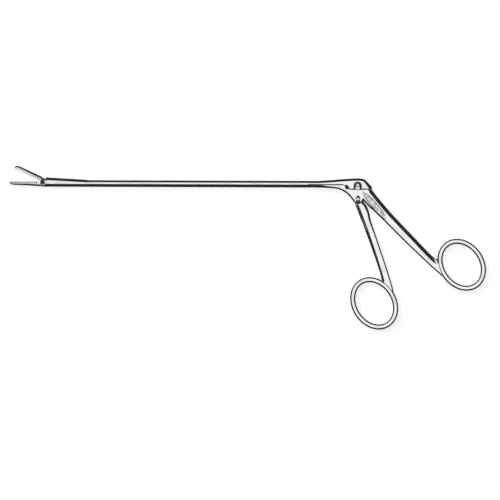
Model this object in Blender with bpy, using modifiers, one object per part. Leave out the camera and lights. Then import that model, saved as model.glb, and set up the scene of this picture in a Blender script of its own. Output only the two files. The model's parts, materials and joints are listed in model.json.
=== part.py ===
"""Sliding-shaft grasping forceps, lying on its side.

All sizes below are in millimetres and the model is built in metres, +Z up. Sizes are laid out in
the handle frame, whose origin is the pivot of the finger lever: +X runs from the jaws to the
handle, +Y from the finger rings up to the shaft and +Z out of the side of the instrument. The
model is moved at the end, so that its origin lies below the middle of its box.
"""

import math

import bmesh
import bpy
from mathutils import Matrix, Vector

MM = 0.001

# Shaft: a round bar split lengthwise into a fixed lower half and a sliding upper half
SHAFT_RADIUS = 2.05
SHAFT_CENTRE_Y = 8.92
SPLIT_Y = 8.60
SLIDING_GAP = 0.10
SHAFT_REAR_X = -16.0
SHAFT_SEGMENTS = 24

# Nose: the deeper front end of the sliding bar, as setbacks behind its foremost point
NOSE_HALF_WIDTH = 2.10
NOSE_LENGTH = 25.8
NOSE_EMBED = 7.8
NOSE_FOOT_SETBACK = 0.9
NOSE_FRONT_EDGE = ((0.0, 10.6), (0.6, 12.2))
NOSE_CROWN = (1.7, 12.55)
NOSE_REAR_TOP_Y = 11.25
NOSE_REAR_BEVEL = 0.4

# Jaw hinge: the jaw swings between the two cheeks of the lower shaft
JAW_PIVOT_X = -190.2
JAW_PIVOT_Y = 7.90
JAW_OPEN_ANGLE = math.radians(26.3)
JAW_LENGTH = 19.1
JAW_HALF_WIDTH = 1.90
JAW_TIP_HALF_WIDTH = 1.35
JAW_TAPER_LENGTH = 13.1
FACE_HEIGHT = 2.32
LOWER_JAW_TIP_Y = 1.5
LOWER_JAW_UNDERSIDE = ((11.6, -0.33), (4.1, -0.05), (1.6, 0.3), (0.5, 0.9))
UPPER_JAW_DEPTH = 2.50
UPPER_JAW_TIP_RISE = 0.9
UPPER_JAW_BACK = ((13.1, 0.05), (3.6, 0.3), (1.5, 0.55), (0.4, 1.1))
UPPER_JAW_HEEL = 0.3
HINGE_FLAT_LENGTH = 2.2
HINGE_FLAT_RISE = 0.12
HINGE_FLAT_RUN = 0.4
HINGE_THROAT = (-1.0, 0.1)
TANG_THICKNESS = 1.40
TANG_GAP = 0.10
TANG_WALL = 0.5
TANG_EYE_RADIUS = 0.8
TANG_ROOT_DEPTH = 1.0
TANG_ROOT_LOW_Y = 3.0
TANG_ROOT_DROP = 0.5
TANG_BACK = (0.2, 0.35)
TANG_NECK = (-0.15, 1.3)
JAW_PIN_RADIUS = 0.40

# Teeth: straight ridges across both jaws, which mesh when the jaws close
TOOTH_PITCH = 1.25
TOOTH_DEPTH = 0.45
TOOTH_COUNT = 13
TOOTH_GAP = 0.12
TOOTH_FRONT = 0.9

# Link between the sliding bar and the jaw
LINK_PIN_X = 3.20
LINK_PIN_Y = 2.50
LINK_STEPS = 6
FORK_DEPTH = 5.4
TANG_SLOT_FRONT = 1.25
TANG_SLOT_INSET = 0.5

# Finger lever
DRIVE_PIN_X = -0.24
DRIVE_PIN_Y = 8.34
SLIDE_STROKE = 1.50
LEVER_TANG_THICKNESS = 2.0
LEVER_GAP = 0.10
LEVER_SWING_MARGIN = 0.30
LEVER_LEAN_ROOM = 0.7
LEVER_SHANK_THICKNESS = 4.4
LEVER_THIN_LENGTH = 12.0
LEVER_RAMP_LENGTH = 9.0
LEVER_SHANK_ANGLE = math.radians(-69.0)
LEVER_EYE_RADIUS = 2.2
LEVER_FRONT_EDGE = ((-2.25, 6.0), (-2.45, 0.0), (-1.75, -2.7), (-1.1, -4.8))
LEVER_REAR_EDGE = ((1.95, 6.0), (2.45, 0.9), (3.75, -1.9), (5.0, -3.6), (5.9, -5.3), (7.05, -8.5))
FRONT_SHANK_FRONT_EDGE = ((3.2, -15.7), (7.35, -26.9), (11.3, -38.2), (13.9, -46.5))
FRONT_SHANK_REAR_EDGE = ((8.2, -13.7), (14.0, -30.8), (17.8, -42.2), (21.0, -52.8))

# Handle body
BODY_THICKNESS = 5.2
BODY_TOP_Y = 5.95
STEP_X = -8.5
STEP_FOOT_X = -7.4
HEAD_STEP_X = -6.3
HEAD_STEP_FOOT_X = -4.76
TONGUE_FOOT_X = -4.2
TONGUE_TOP_X = -5.8
TONGUE_TOP_Y = SPLIT_Y - 0.10
TONGUE_THICKNESS = 1.0
BODY_FRONT_X = -24.0
BODY_REAR_X = 8.3
THROAT_EDGE = ((-3.6, -0.3), (-6.0, 2.6), (-9.6, 5.05), (-14.0, 6.35))
BOSS_RADIUS = 2.95
BOSS_ARC = (-25, -140)
CROTCH = (3.35, -0.6)
FLARE_START_X = -30.0
FLARE_END_X = -13.0
REAR_SHANK_THICKNESS = 4.4
REAR_SHANK_ANGLE = math.radians(-38.0)
REAR_TAPER_START = (8.0, -1.0)
REAR_TAPER_LENGTH = 56.0
REAR_SHANK_UPPER_EDGE = ((9.6, 4.1), (19.0, -7.1), (31.4, -20.2), (44.0, -33.2))
REAR_SHANK_LOWER_EDGE = ((49.4, -45.1), (40.4, -37.1), (27.4, -24.7), (14.7, -12.0), (7.2, -4.9))
EDGE_ROUND = 0.45

# Head: the deep rear end of the sliding bar
HEAD_FOOT_X = 8.2
HEAD_EDGE = ((8.35, 7.3), (6.0, 9.95), (3.6, 12.0), (0.0, 12.6), (-8.4, 12.15), (-16.8, 11.4))

# Finger rings, equal on both handles; each shank meets its ring at the given ring angles
RING_LONG_RADIUS = 15.05
RING_SHORT_RADIUS = 11.85
RING_BAND = 3.4
RING_THICKNESS = 5.0
RING_STEPS = 40
REAR_RING_CENTRE = (62.3, -39.1)
REAR_RING_TILT = math.radians(-54.4)
REAR_RING_JOIN = (-128, -112, -96, -80)
FRONT_RING_CENTRE = (9.9, -62.4)
FRONT_RING_TILT = math.radians(-57.1)
FRONT_RING_JOIN = (76, 90, 104, 118)

# Pins and screws
PRESS_GAP = 0.05
RUNNING_GAP = 0.08
PIN_SEGMENTS = 20
DRIVE_PIN_RADIUS = 1.20
DRIVE_PIN_DOME = 0.35
PIN_DOME = 0.2
PIN_DOME_SHARE = 0.7
PIN_RECESS = 0.12
SCREW_RADIUS = 0.95
SCREW_HEAD_RADIUS = 1.30
SCREW_HEAD_HEIGHT = 0.75
SCREW_CROWN = ((0.75, 0.08), (1.1, 0.22))
SCREW_CROWN_DROP = 0.42
SCREW_DISH_RADIUS = 1.90
SCREW_DISH_DEPTH = 0.35
SCREW_SLOT_WIDTH = 0.40
SCREW_SLOT_DEPTH = 0.30

# Arched window in the side of the sliding head, around the drive pin
ARCH_WIDTH = 4.9
ARCH_TOP_Y = 10.6
ARCH_DEPTH = 0.75
ARCH_SHOULDER_RISE = 0.3
ARCH_HAUNCH_SHARE = 0.6
ARCH_HAUNCH_DROP = 0.55

# Guide studs: riveted into the lower shaft, their heads run in keyhole slots of the bar
STUD_FRONT_INSET = 30.2
STUD_SPACING = 65.0
STUD_REAR_X = -34.0
STUD_RADIUS = 0.60
STUD_HEAD_RADIUS = 1.00
STUD_HEAD_HEIGHT = 0.55
STUD_NECK_HEIGHT = 0.75
STUD_FLOOR = 0.38
STUD_GAP = 0.12
STUD_ENTRY_LAND = 0.4

# Values that follow from the sizes above
DRIVE_ARM = math.hypot(DRIVE_PIN_X, DRIVE_PIN_Y)
DRIVE_LEAN = math.atan2(-DRIVE_PIN_X, DRIVE_PIN_Y)
CLOSING_ANGLE = math.asin(math.sin(DRIVE_LEAN) + SLIDE_STROKE / DRIVE_ARM) - DRIVE_LEAN
BAR_BOTTOM_Y = SPLIT_Y + SLIDING_GAP
HALF_BODY = BODY_THICKNESS / 2
HALF_TANG = TANG_THICKNESS / 2
FORK_HALF_WIDTH = HALF_TANG + TANG_GAP
LEVER_SLOT_HALF_WIDTH = LEVER_TANG_THICKNESS / 2 + LEVER_GAP
BAR_FRONT_X = JAW_PIVOT_X + HINGE_FLAT_LENGTH
NOSE_REAR_X = BAR_FRONT_X + NOSE_LENGTH
SHAFT_TOP_Y = SHAFT_CENTRE_Y + SHAFT_RADIUS
SHAFT_BOTTOM_Y = SHAFT_CENTRE_Y - SHAFT_RADIUS
FIRST_STUD_X = JAW_PIVOT_X + STUD_FRONT_INSET
STUD_XS = (FIRST_STUD_X, FIRST_STUD_X + STUD_SPACING, STUD_REAR_X)
STUD_SEAT_Y = SHAFT_BOTTOM_Y + STUD_FLOOR
STUD_NECK_TOP_Y = SPLIT_Y + STUD_NECK_HEIGHT
TEETH_END_X = -JAW_LENGTH + TOOTH_FRONT + TOOTH_COUNT * TOOTH_PITCH

# Building aids: a cutter runs on to FAR, and shapes that merge or cut overlap by OVERLAP
FAR = 40.0
OVERLAP = 0.6
WELD_DISTANCE = 0.002
FLAT_ANGLE = math.radians(0.05)
SHARP_ANGLE = math.radians(30)
SMOOTH = "AUTO"
CORNER = "VECTOR"

# Finishes: colour and roughness
FORGED_STEEL = ((0.80, 0.81, 0.82), 0.22)
PIN_STEEL = ((0.66, 0.67, 0.69), 0.35)


def clear_scene():
    """Remove every object of the scene."""
    for thing in list(bpy.data.objects):
        bpy.data.objects.remove(thing, do_unlink=True)


def new_collection(name):
    """Return a new collection linked to the scene."""
    collection = bpy.data.collections.new(name)
    bpy.context.scene.collection.children.link(collection)
    return collection


def steel(name, colour, roughness):
    """Return a metal material of the given colour and roughness."""
    material = bpy.data.materials.new(name)
    material.use_nodes = True
    shader = material.node_tree.nodes["Principled BSDF"]
    shader.inputs["Base Color"].default_value = (*colour, 1.0)
    shader.inputs["Metallic"].default_value = 1.0
    shader.inputs["Roughness"].default_value = roughness
    return material


def turned(points, angle):
    """Return 2D points turned about the origin by an angle."""
    c, s = math.cos(angle), math.sin(angle)
    return [(x * c - y * s, x * s + y * c) for x, y in points]


def arc(centre, radius, start, end, steps):
    """Return corner points along an arc, angles in degrees."""
    angles = [math.radians(start + (end - start) * i / steps) for i in range(steps + 1)]
    return [(centre[0] + radius * math.cos(a), centre[1] + radius * math.sin(a)) for a in angles]


def smooth(points):
    """Mark points as smooth points of an outline."""
    return [(x, y, SMOOTH) for x, y in points]


def mesh_object(name, mesh):
    """Return an object for a mesh, linked to the scene's own collection for now."""
    thing = bpy.data.objects.new(name, mesh)
    bpy.context.scene.collection.objects.link(thing)
    return thing


def curve_to_mesh(curve_object, name):
    """Turn a curve object into a welded mesh object with outward faces and remove the curve."""
    bpy.context.view_layer.update()
    evaluated = curve_object.evaluated_get(bpy.context.evaluated_depsgraph_get())
    mesh = bpy.data.meshes.new_from_object(evaluated)
    mesh.transform(curve_object.matrix_world)
    bpy.data.objects.remove(curve_object, do_unlink=True)
    work = bmesh.new()
    work.from_mesh(mesh)
    bmesh.ops.remove_doubles(work, verts=work.verts, dist=WELD_DISTANCE * MM)
    bmesh.ops.dissolve_limit(work, angle_limit=FLAT_ANGLE, verts=work.verts, edges=work.edges)
    bmesh.ops.recalc_face_normals(work, faces=work.faces)
    work.to_mesh(mesh)
    work.free()
    mesh.name = name
    return mesh_object(name, mesh)


def outline_solid(name, points, thickness, edge_round=0.0, steps=5):
    """Return a flat solid in the XY plane, centred on it, from an outline.

    A point is (x, y) for a corner or (x, y, SMOOTH) where the outline runs through in a curve.
    """
    curve = bpy.data.curves.new(name, "CURVE")
    curve.dimensions = "2D"
    curve.fill_mode = "BOTH"
    curve.resolution_u = steps
    curve.extrude = (thickness / 2 - edge_round) * MM
    curve.bevel_depth = edge_round * MM
    curve.offset = -edge_round * MM
    curve.bevel_resolution = 1
    spline = curve.splines.new("BEZIER")
    spline.bezier_points.add(len(points) - 1)
    spline.use_cyclic_u = True
    for knot, point in zip(spline.bezier_points, points):
        knot.co = (point[0] * MM, point[1] * MM, 0.0)
    for knot, point in zip(spline.bezier_points, points):
        kind = point[2] if len(point) > 2 else CORNER
        knot.handle_left_type = kind
        knot.handle_right_type = kind
    thing = bpy.data.objects.new(name, curve)
    bpy.context.scene.collection.objects.link(thing)
    return curve_to_mesh(thing, name)


def box(name, low, high):
    """Return a box between two corners."""
    mesh = bpy.data.meshes.new(name)
    work = bmesh.new()
    bmesh.ops.create_cube(work, size=1.0)
    work.to_mesh(mesh)
    work.free()
    size = [(b - a) * MM for a, b in zip(low, high)]
    middle = [(a + b) / 2 * MM for a, b in zip(low, high)]
    mesh.transform(Matrix.Translation(middle) @ Matrix.Diagonal((*size, 1.0)))
    return mesh_object(name, mesh)


def rod(name, radius, start, end, axis, at, segments=PIN_SEGMENTS):
    """Return a cylinder along an axis letter, from start to end, through the point at."""
    mesh = bpy.data.meshes.new(name)
    work = bmesh.new()
    bmesh.ops.create_cone(work, cap_ends=True, segments=segments, radius1=radius * MM,
                          radius2=radius * MM, depth=(end - start) * MM)
    work.to_mesh(mesh)
    work.free()
    turn = {"X": Matrix.Rotation(math.pi / 2, 4, "Y"), "Y": Matrix.Rotation(-math.pi / 2, 4, "X"),
            "Z": Matrix.Identity(4)}[axis]
    direction = {"X": Vector((1, 0, 0)), "Y": Vector((0, 1, 0)), "Z": Vector((0, 0, 1))}[axis]
    middle = (Vector(at) + direction * (start + end) / 2) * MM
    mesh.transform(Matrix.Translation(middle) @ turn)
    return mesh_object(name, mesh)


def turned_solid(name, profile, segments=PIN_SEGMENTS):
    """Return a solid of revolution about Z from (radius, z) points, listed from top to bottom."""
    mesh = bpy.data.meshes.new(name)
    work = bmesh.new()
    corners = [work.verts.new((radius * MM, 0.0, z * MM)) for radius, z in profile]
    for first, second in zip(corners, corners[1:]):
        work.edges.new((first, second))
    work.to_mesh(mesh)
    work.free()
    thing = mesh_object(name, mesh)
    screw = thing.modifiers.new("Turn", "SCREW")
    screw.axis = "Z"
    screw.steps = segments
    screw.render_steps = segments
    screw.use_merge_vertices = True
    screw.merge_threshold = WELD_DISTANCE * MM / 2
    return thing


def join(part, tool, cutters, operation):
    """Add, cut or keep in common a tool on a part, in the part's own frame."""
    for collection in list(tool.users_collection):
        collection.objects.unlink(tool)
    cutters.objects.link(tool)
    tool.parent = part
    tool.hide_render = True
    tool.display_type = "WIRE"
    change = part.modifiers.new(tool.name, "BOOLEAN")
    change.operation = operation
    change.solver = "EXACT"
    change.object = tool


def relief(name, origin, angle, profile, half_width):
    """Return a cutter whose (distance, z) profile runs along a direction in the XY plane."""
    cutter = outline_solid(name, profile, 2 * half_width)
    stand_up = Matrix.Rotation(math.pi / 2, 4, "X")
    place = Matrix.Translation((origin[0] * MM, origin[1] * MM, 0.0)) @ Matrix.Rotation(angle, 4, "Z")
    cutter.data.transform(place @ stand_up)
    return cutter


def thin_both_sides(part, cutters, name, origin, angle, heights, half_width):
    """Cut both sides of a part down to half thicknesses given as (distance, z) points."""
    for side, label in ((1, "front"), (-1, "back")):
        line = [(distance, side * z) for distance, z in heights]
        profile = line + [(heights[-1][0], side * FAR), (heights[0][0], side * FAR)]
        cutter = relief(f"{name}_{label}", origin, angle, profile, half_width)
        join(part, cutter, cutters, "DIFFERENCE")


def run_out(inner, outer):
    """Return the point where the line from inner through outer has left the side of the part."""
    slope = (outer[1] - inner[1]) / (outer[0] - inner[0])
    distance = math.copysign(OVERLAP / abs(slope), outer[0] - inner[0])
    return (outer[0] + distance, outer[1] + distance * slope)


def ring_point(centre, tilt, degrees):
    """Return a point of a finger ring's centre line."""
    turn = math.radians(degrees)
    along, across = RING_LONG_RADIUS * math.cos(turn), RING_SHORT_RADIUS * math.sin(turn)
    (x, y), = turned([(along, across)], tilt)
    return (centre[0] + x, centre[1] + y)


def finger_ring(name, centre, tilt):
    """Return an oval ring with an oval section."""
    curve = bpy.data.curves.new(name, "CURVE")
    curve.dimensions = "3D"
    curve.bevel_depth = RING_BAND / 2 * MM
    curve.bevel_resolution = 2
    spline = curve.splines.new("POLY")
    spline.points.add(RING_STEPS - 1)
    spline.use_cyclic_u = True
    for i, knot in enumerate(spline.points):
        x, y = ring_point(centre, tilt, 360 * i / RING_STEPS)
        knot.co = (x * MM, y * MM, 0.0, 1.0)
    thing = bpy.data.objects.new(name, curve)
    bpy.context.scene.collection.objects.link(thing)
    ring = curve_to_mesh(thing, name)
    ring.data.transform(Matrix.Diagonal((1.0, 1.0, RING_THICKNESS / RING_BAND, 1.0)))
    return ring


def toothed_line(offset, height, direction):
    """Return the ridge line of one jaw's teeth, from tip to root, in the closed jaws' frame."""
    first = -JAW_LENGTH + TOOTH_FRONT + offset
    points = []
    for i in range(TOOTH_COUNT):
        x = first + i * TOOTH_PITCH
        points += [(x, height), (x + TOOTH_PITCH / 2, height - direction * TOOTH_DEPTH)]
    points.append((first + TOOTH_COUNT * TOOTH_PITCH, height))
    return points


def jaw_plan(name, rear_x):
    """Return the tall solid that gives a jaw its outline seen from above."""
    tip_x = -JAW_LENGTH + JAW_TIP_HALF_WIDTH
    taper_x = -JAW_LENGTH + JAW_TAPER_LENGTH
    tip = arc((tip_x, 0.0), JAW_TIP_HALF_WIDTH, 110, 250, 8)
    outline = [(rear_x, -JAW_HALF_WIDTH), (rear_x, JAW_HALF_WIDTH), (taper_x, JAW_HALF_WIDTH)]
    outline += tip + [(taper_x, -JAW_HALF_WIDTH)]
    plan = outline_solid(name, outline, 2 * FAR)
    plan.data.transform(Matrix.Rotation(math.pi / 2, 4, "X"))
    return plan


def lever_slot_outline():
    """Return the outline of the slot that the lever's upper end swings in."""
    margin = LEVER_SWING_MARGIN
    closed_front = turned(LEVER_FRONT_EDGE[:1], CLOSING_ANGLE)
    closed_rear = turned(LEVER_REAR_EDGE[2:], CLOSING_ANGLE)
    top_front, mid_front = LEVER_FRONT_EDGE[:2]
    top_rear, mid_rear = LEVER_REAR_EDGE[:2]
    left_x = closed_front[0][0] - margin
    left = [(left_x, FAR), (left_x, top_front[1]), (mid_front[0] - margin, mid_front[1]),
            (mid_front[0] - margin, -FAR)]
    right = [(top_rear[0] + 2 * margin, FAR), (top_rear[0] + 2 * margin, top_rear[1]),
             (mid_rear[0] + margin, mid_rear[1])]
    right += [(x + margin, y) for x, y in closed_rear]
    right.append((right[-1][0] + margin, -FAR))
    return left + right[::-1]


def flare_heights():
    """Return the half thickness along X where the slender shaft widens into the body and head."""
    slim, full = (FLARE_START_X, SHAFT_RADIUS), (FLARE_END_X, HALF_BODY)
    return [(FLARE_START_X - FAR, SHAFT_RADIUS), slim, run_out(slim, full)]


def body_outline():
    """Return the side outline of the handle body with its rear shank."""
    deck_y = SPLIT_Y + OVERLAP
    floor_y = BODY_TOP_Y + OVERLAP
    outline = [(BODY_FRONT_X, deck_y), (STEP_X, deck_y), (STEP_X, floor_y), (BODY_REAR_X, floor_y)]
    outline += smooth(REAR_SHANK_UPPER_EDGE)
    outline += [ring_point(REAR_RING_CENTRE, REAR_RING_TILT, angle) for angle in REAR_RING_JOIN]
    outline += smooth(REAR_SHANK_LOWER_EDGE) + [CROTCH]
    outline += arc((0.0, 0.0), BOSS_RADIUS, *BOSS_ARC, 6) + smooth(THROAT_EDGE)
    outline.append((BODY_FRONT_X, SHAFT_BOTTOM_Y + OVERLAP))
    return outline


def build_lower_jaw(cutters):
    """Toothed lower jaw with the hinge cheeks behind it, to be joined to the shaft."""
    bottom = SHAFT_BOTTOM_Y + HINGE_FLAT_RISE - JAW_PIVOT_Y
    step = SPLIT_Y - JAW_PIVOT_Y + OVERLAP
    face = FACE_HEIGHT - TOOTH_GAP
    rear_x = HINGE_FLAT_LENGTH + HINGE_FLAT_RUN
    side = [(-JAW_LENGTH, LOWER_JAW_TIP_Y), (-JAW_LENGTH, face)] + toothed_line(0.0, face, 1)
    side += [(TEETH_END_X, step), (rear_x, step), (rear_x, bottom)]
    side.append((HINGE_THROAT[0], bottom + HINGE_THROAT[1]))
    side += [(distance - JAW_LENGTH, y) for distance, y in LOWER_JAW_UNDERSIDE]
    jaw = outline_solid("lower_jaw_side", side, 2 * (JAW_HALF_WIDTH + OVERLAP))
    join(jaw, jaw_plan("lower_jaw_plan", rear_x + OVERLAP), cutters, "INTERSECT")
    jaw.location = Vector((JAW_PIVOT_X, JAW_PIVOT_Y, 0.0)) * MM
    return jaw


def build_fixed_handle(cutters):
    """Lower jaw, lower shaft, body, rear shank and thumb ring, forged as one piece."""
    part = outline_solid("fixed_handle", body_outline(), BODY_THICKNESS, EDGE_ROUND)
    thin_both_sides(part, cutters, "body_flare", (0.0, 0.0), 0.0, flare_heights(), FAR)
    full, slim = (0.0, HALF_BODY), (REAR_TAPER_LENGTH, REAR_SHANK_THICKNESS / 2)
    heights = [run_out(slim, full), slim, (REAR_TAPER_LENGTH + FAR, slim[1])]
    thin_both_sides(part, cutters, "rear_shank_taper", REAR_TAPER_START, REAR_SHANK_ANGLE, heights,
                    RING_LONG_RADIUS)
    join(part, finger_ring("thumb_ring_band", REAR_RING_CENTRE, REAR_RING_TILT), cutters, "UNION")
    shaft = rod("lower_shaft_round", SHAFT_RADIUS, BAR_FRONT_X, SHAFT_REAR_X, "X",
                (0.0, SHAFT_CENTRE_Y, 0.0), SHAFT_SEGMENTS)
    join(part, shaft, cutters, "UNION")
    join(part, build_lower_jaw(cutters), cutters, "UNION")
    deck_x = JAW_PIVOT_X + TEETH_END_X
    deck = [(deck_x, FAR), (deck_x, SPLIT_Y), (STEP_X, SPLIT_Y), (STEP_FOOT_X, BODY_TOP_Y),
            (FAR, BODY_TOP_Y), (FAR, FAR)]
    join(part, outline_solid("deck", deck, 2 * FAR), cutters, "DIFFERENCE")
    tongue = [(STEP_X - OVERLAP, BODY_TOP_Y - OVERLAP), (TONGUE_FOOT_X, BODY_TOP_Y - OVERLAP),
              (TONGUE_TOP_X, TONGUE_TOP_Y), (STEP_X - OVERLAP, TONGUE_TOP_Y)]
    join(part, outline_solid("tongue", tongue, TONGUE_THICKNESS), cutters, "UNION")
    tang_slot = box("jaw_tang_slot", (JAW_PIVOT_X - TANG_SLOT_FRONT, 0.0, -FORK_HALF_WIDTH),
                    (JAW_PIVOT_X + FORK_DEPTH - TANG_SLOT_INSET, SPLIT_Y + OVERLAP, FORK_HALF_WIDTH))
    join(part, tang_slot, cutters, "DIFFERENCE")
    pivot_hole = rod("jaw_pivot_hole", JAW_PIN_RADIUS + PRESS_GAP, -FAR, FAR, "Z",
                     (JAW_PIVOT_X, JAW_PIVOT_Y, 0.0))
    join(part, pivot_hole, cutters, "DIFFERENCE")
    lever_slot = outline_solid("lever_slot", lever_slot_outline(), 2 * LEVER_SLOT_HALF_WIDTH)
    join(part, lever_slot, cutters, "DIFFERENCE")
    join(part, turned_solid("screw_seat", screw_seat_profile()), cutters, "DIFFERENCE")
    for number, x in enumerate(STUD_XS, 1):
        hole = rod(f"stud_hole_{number}", STUD_RADIUS + PRESS_GAP, STUD_SEAT_Y - PRESS_GAP,
                   SPLIT_Y + OVERLAP, "Y", (x, 0.0, 0.0))
        join(part, hole, cutters, "DIFFERENCE")
    return part


def screw_seat_profile():
    """Return the profile of the pivot screw's dished and stepped hole."""
    seat_z = HALF_BODY - PIN_RECESS - SCREW_HEAD_HEIGHT - PRESS_GAP
    head, neck = SCREW_HEAD_RADIUS + PRESS_GAP, SCREW_RADIUS + PRESS_GAP
    mouth = SCREW_DISH_RADIUS + OVERLAP * (SCREW_DISH_RADIUS - head) / SCREW_DISH_DEPTH
    top = HALF_BODY + OVERLAP
    return [(0.0, top), (mouth, top), (head, HALF_BODY - SCREW_DISH_DEPTH), (head, seat_z),
            (neck, seat_z), (neck, -top), (0.0, -top)]


def build_pivot_screw(cutters):
    """Slotted, domed screw that the finger lever turns on."""
    crown_z = HALF_BODY - PIN_RECESS
    under_z = crown_z - SCREW_HEAD_HEIGHT
    profile = [(0.0, crown_z)] + [(radius, crown_z - drop) for radius, drop in SCREW_CROWN]
    profile += [(SCREW_HEAD_RADIUS, crown_z - SCREW_CROWN_DROP), (SCREW_HEAD_RADIUS, under_z),
                (SCREW_RADIUS, under_z), (SCREW_RADIUS, -crown_z), (0.0, -crown_z)]
    part = turned_solid("lever_pivot_screw", profile)
    slot = box("screw_slot", (-FAR, -SCREW_SLOT_WIDTH / 2, crown_z - SCREW_SLOT_DEPTH),
               (FAR, SCREW_SLOT_WIDTH / 2, FAR))
    join(part, slot, cutters, "DIFFERENCE")
    return part


def pin(name, radius, half_length, dome=PIN_DOME):
    """Return a plain pin along Z with slightly domed ends."""
    profile = [(0.0, half_length), (radius * PIN_DOME_SHARE, half_length - dome / 3),
               (radius, half_length - dome)]
    profile += [(r, -z) for r, z in profile[::-1]]
    return turned_solid(name, profile)


def nose_outline():
    """Return the side outline of the sliding bar's deeper front end."""
    low = BAR_BOTTOM_Y - OVERLAP
    outline = [(BAR_FRONT_X + NOSE_FOOT_SETBACK, low)]
    outline += smooth([(BAR_FRONT_X + setback, y) for setback, y in NOSE_FRONT_EDGE])
    outline += [(BAR_FRONT_X + NOSE_CROWN[0], NOSE_CROWN[1]),
                (NOSE_REAR_X - NOSE_REAR_BEVEL, NOSE_REAR_TOP_Y),
                (NOSE_REAR_X, SHAFT_TOP_Y - NOSE_REAR_BEVEL), (NOSE_REAR_X, low)]
    return outline


def arch_outline():
    """Return the outline of the arched window, open at the bottom."""
    half = ARCH_WIDTH / 2
    haunch = half * ARCH_HAUNCH_SHARE
    shoulder_y = ARCH_TOP_Y - half + ARCH_SHOULDER_RISE
    haunch_y = ARCH_TOP_Y - ARCH_HAUNCH_DROP
    right = [(half, 0.0), (half, shoulder_y), (haunch, haunch_y)]
    left = [(-x, y) for x, y in right[::-1]]
    return [(DRIVE_PIN_X + x, y) for x, y in right + [(0.0, ARCH_TOP_Y)] + left]


def build_bar_head(cutters):
    """Deep rear end of the sliding bar, to be joined to its round part."""
    low = BODY_TOP_Y - OVERLAP
    outline = [(BODY_FRONT_X, low), (HEAD_FOOT_X, low)] + smooth(HEAD_EDGE)
    outline.append((BODY_FRONT_X, SHAFT_TOP_Y - OVERLAP))
    head = outline_solid("bar_head", outline, BODY_THICKNESS, EDGE_ROUND)
    thin_both_sides(head, cutters, "head_flare", (0.0, 0.0), 0.0, flare_heights(), FAR)
    return head


def cut_drive(part, cutters):
    """Cut the room for the lever's eye and the body's tongue, the drive pin's notch and the windows."""
    reach = LEVER_EYE_RADIUS + LEVER_SWING_MARGIN
    room = box("lever_eye_room", (DRIVE_PIN_X - reach, 0.0, -LEVER_SLOT_HALF_WIDTH),
               (DRIVE_PIN_X + reach + LEVER_LEAN_ROOM, DRIVE_PIN_Y + reach, LEVER_SLOT_HALF_WIDTH))
    join(part, room, cutters, "DIFFERENCE")
    side_room = TONGUE_THICKNESS / 2 + SLIDING_GAP
    tongue_slot = box("tongue_slot", (HEAD_STEP_X - OVERLAP, 0.0, -side_room),
                      (DRIVE_PIN_X - reach + OVERLAP, TONGUE_TOP_Y + SLIDING_GAP, side_room))
    join(part, tongue_slot, cutters, "DIFFERENCE")
    radius = DRIVE_PIN_RADIUS + RUNNING_GAP
    notch = [(DRIVE_PIN_X + radius, 0.0)] + arc((DRIVE_PIN_X, DRIVE_PIN_Y), radius, 0, 180, 8)
    notch.append((DRIVE_PIN_X - radius, 0.0))
    join(part, outline_solid("drive_pin_notch", notch, 2 * FAR), cutters, "DIFFERENCE")
    for side, label in ((1, "front"), (-1, "back")):
        window = outline_solid(f"arch_{label}", arch_outline(), 2 * ARCH_DEPTH)
        window.location.z = side * HALF_BODY * MM
        join(part, window, cutters, "DIFFERENCE")


def cut_stud_slots(part, cutters):
    """Cut a keyhole slot with a wider run above it for each guide stud."""
    narrow = STUD_RADIUS + STUD_GAP
    wide = STUD_HEAD_RADIUS + STUD_GAP
    travel = SLIDE_STROKE + narrow + wide + STUD_ENTRY_LAND
    run_top = STUD_NECK_TOP_Y + STUD_HEAD_HEIGHT + STUD_GAP
    for number, x in enumerate(STUD_XS, 1):
        neck = keyhole(f"stud_neck_{number}", x, travel, narrow, wide - STUD_GAP / 3, 0.0, STUD_NECK_TOP_Y)
        run = keyhole(f"stud_run_{number}", x, travel, wide, wide, STUD_NECK_TOP_Y - STUD_GAP, run_top)
        join(part, neck, cutters, "DIFFERENCE")
        join(part, run, cutters, "DIFFERENCE")


def build_slide_bar(cutters):
    """Upper half of the shaft, forked at the front and with the driven head at the rear."""
    part = rod("slide_bar", SHAFT_RADIUS, NOSE_REAR_X - NOSE_EMBED, SHAFT_REAR_X, "X",
               (0.0, SHAFT_CENTRE_Y, 0.0), SHAFT_SEGMENTS)
    join(part, outline_solid("bar_nose", nose_outline(), 2 * NOSE_HALF_WIDTH, EDGE_ROUND), cutters, "UNION")
    join(part, build_bar_head(cutters), cutters, "UNION")
    head_seat = BODY_TOP_Y + SLIDING_GAP
    under = [(BAR_FRONT_X - FAR, BAR_BOTTOM_Y), (HEAD_STEP_X, BAR_BOTTOM_Y), (HEAD_STEP_FOOT_X, head_seat),
             (FAR, head_seat), (FAR, -FAR), (BAR_FRONT_X - FAR, -FAR)]
    join(part, outline_solid("bar_underside", under, 2 * FAR), cutters, "DIFFERENCE")
    fork = box("bar_fork_slot", (BAR_FRONT_X - FORK_DEPTH, 0.0, -FORK_HALF_WIDTH),
               (JAW_PIVOT_X + FORK_DEPTH, FAR, FORK_HALF_WIDTH))
    join(part, fork, cutters, "DIFFERENCE")
    link = rod("link_pin_hole", JAW_PIN_RADIUS + PRESS_GAP, -FAR, FAR, "Z",
               (JAW_PIVOT_X + LINK_PIN_X, JAW_PIVOT_Y + LINK_PIN_Y, 0.0))
    join(part, link, cutters, "DIFFERENCE")
    cut_drive(part, cutters)
    cut_stud_slots(part, cutters)
    return part


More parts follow.
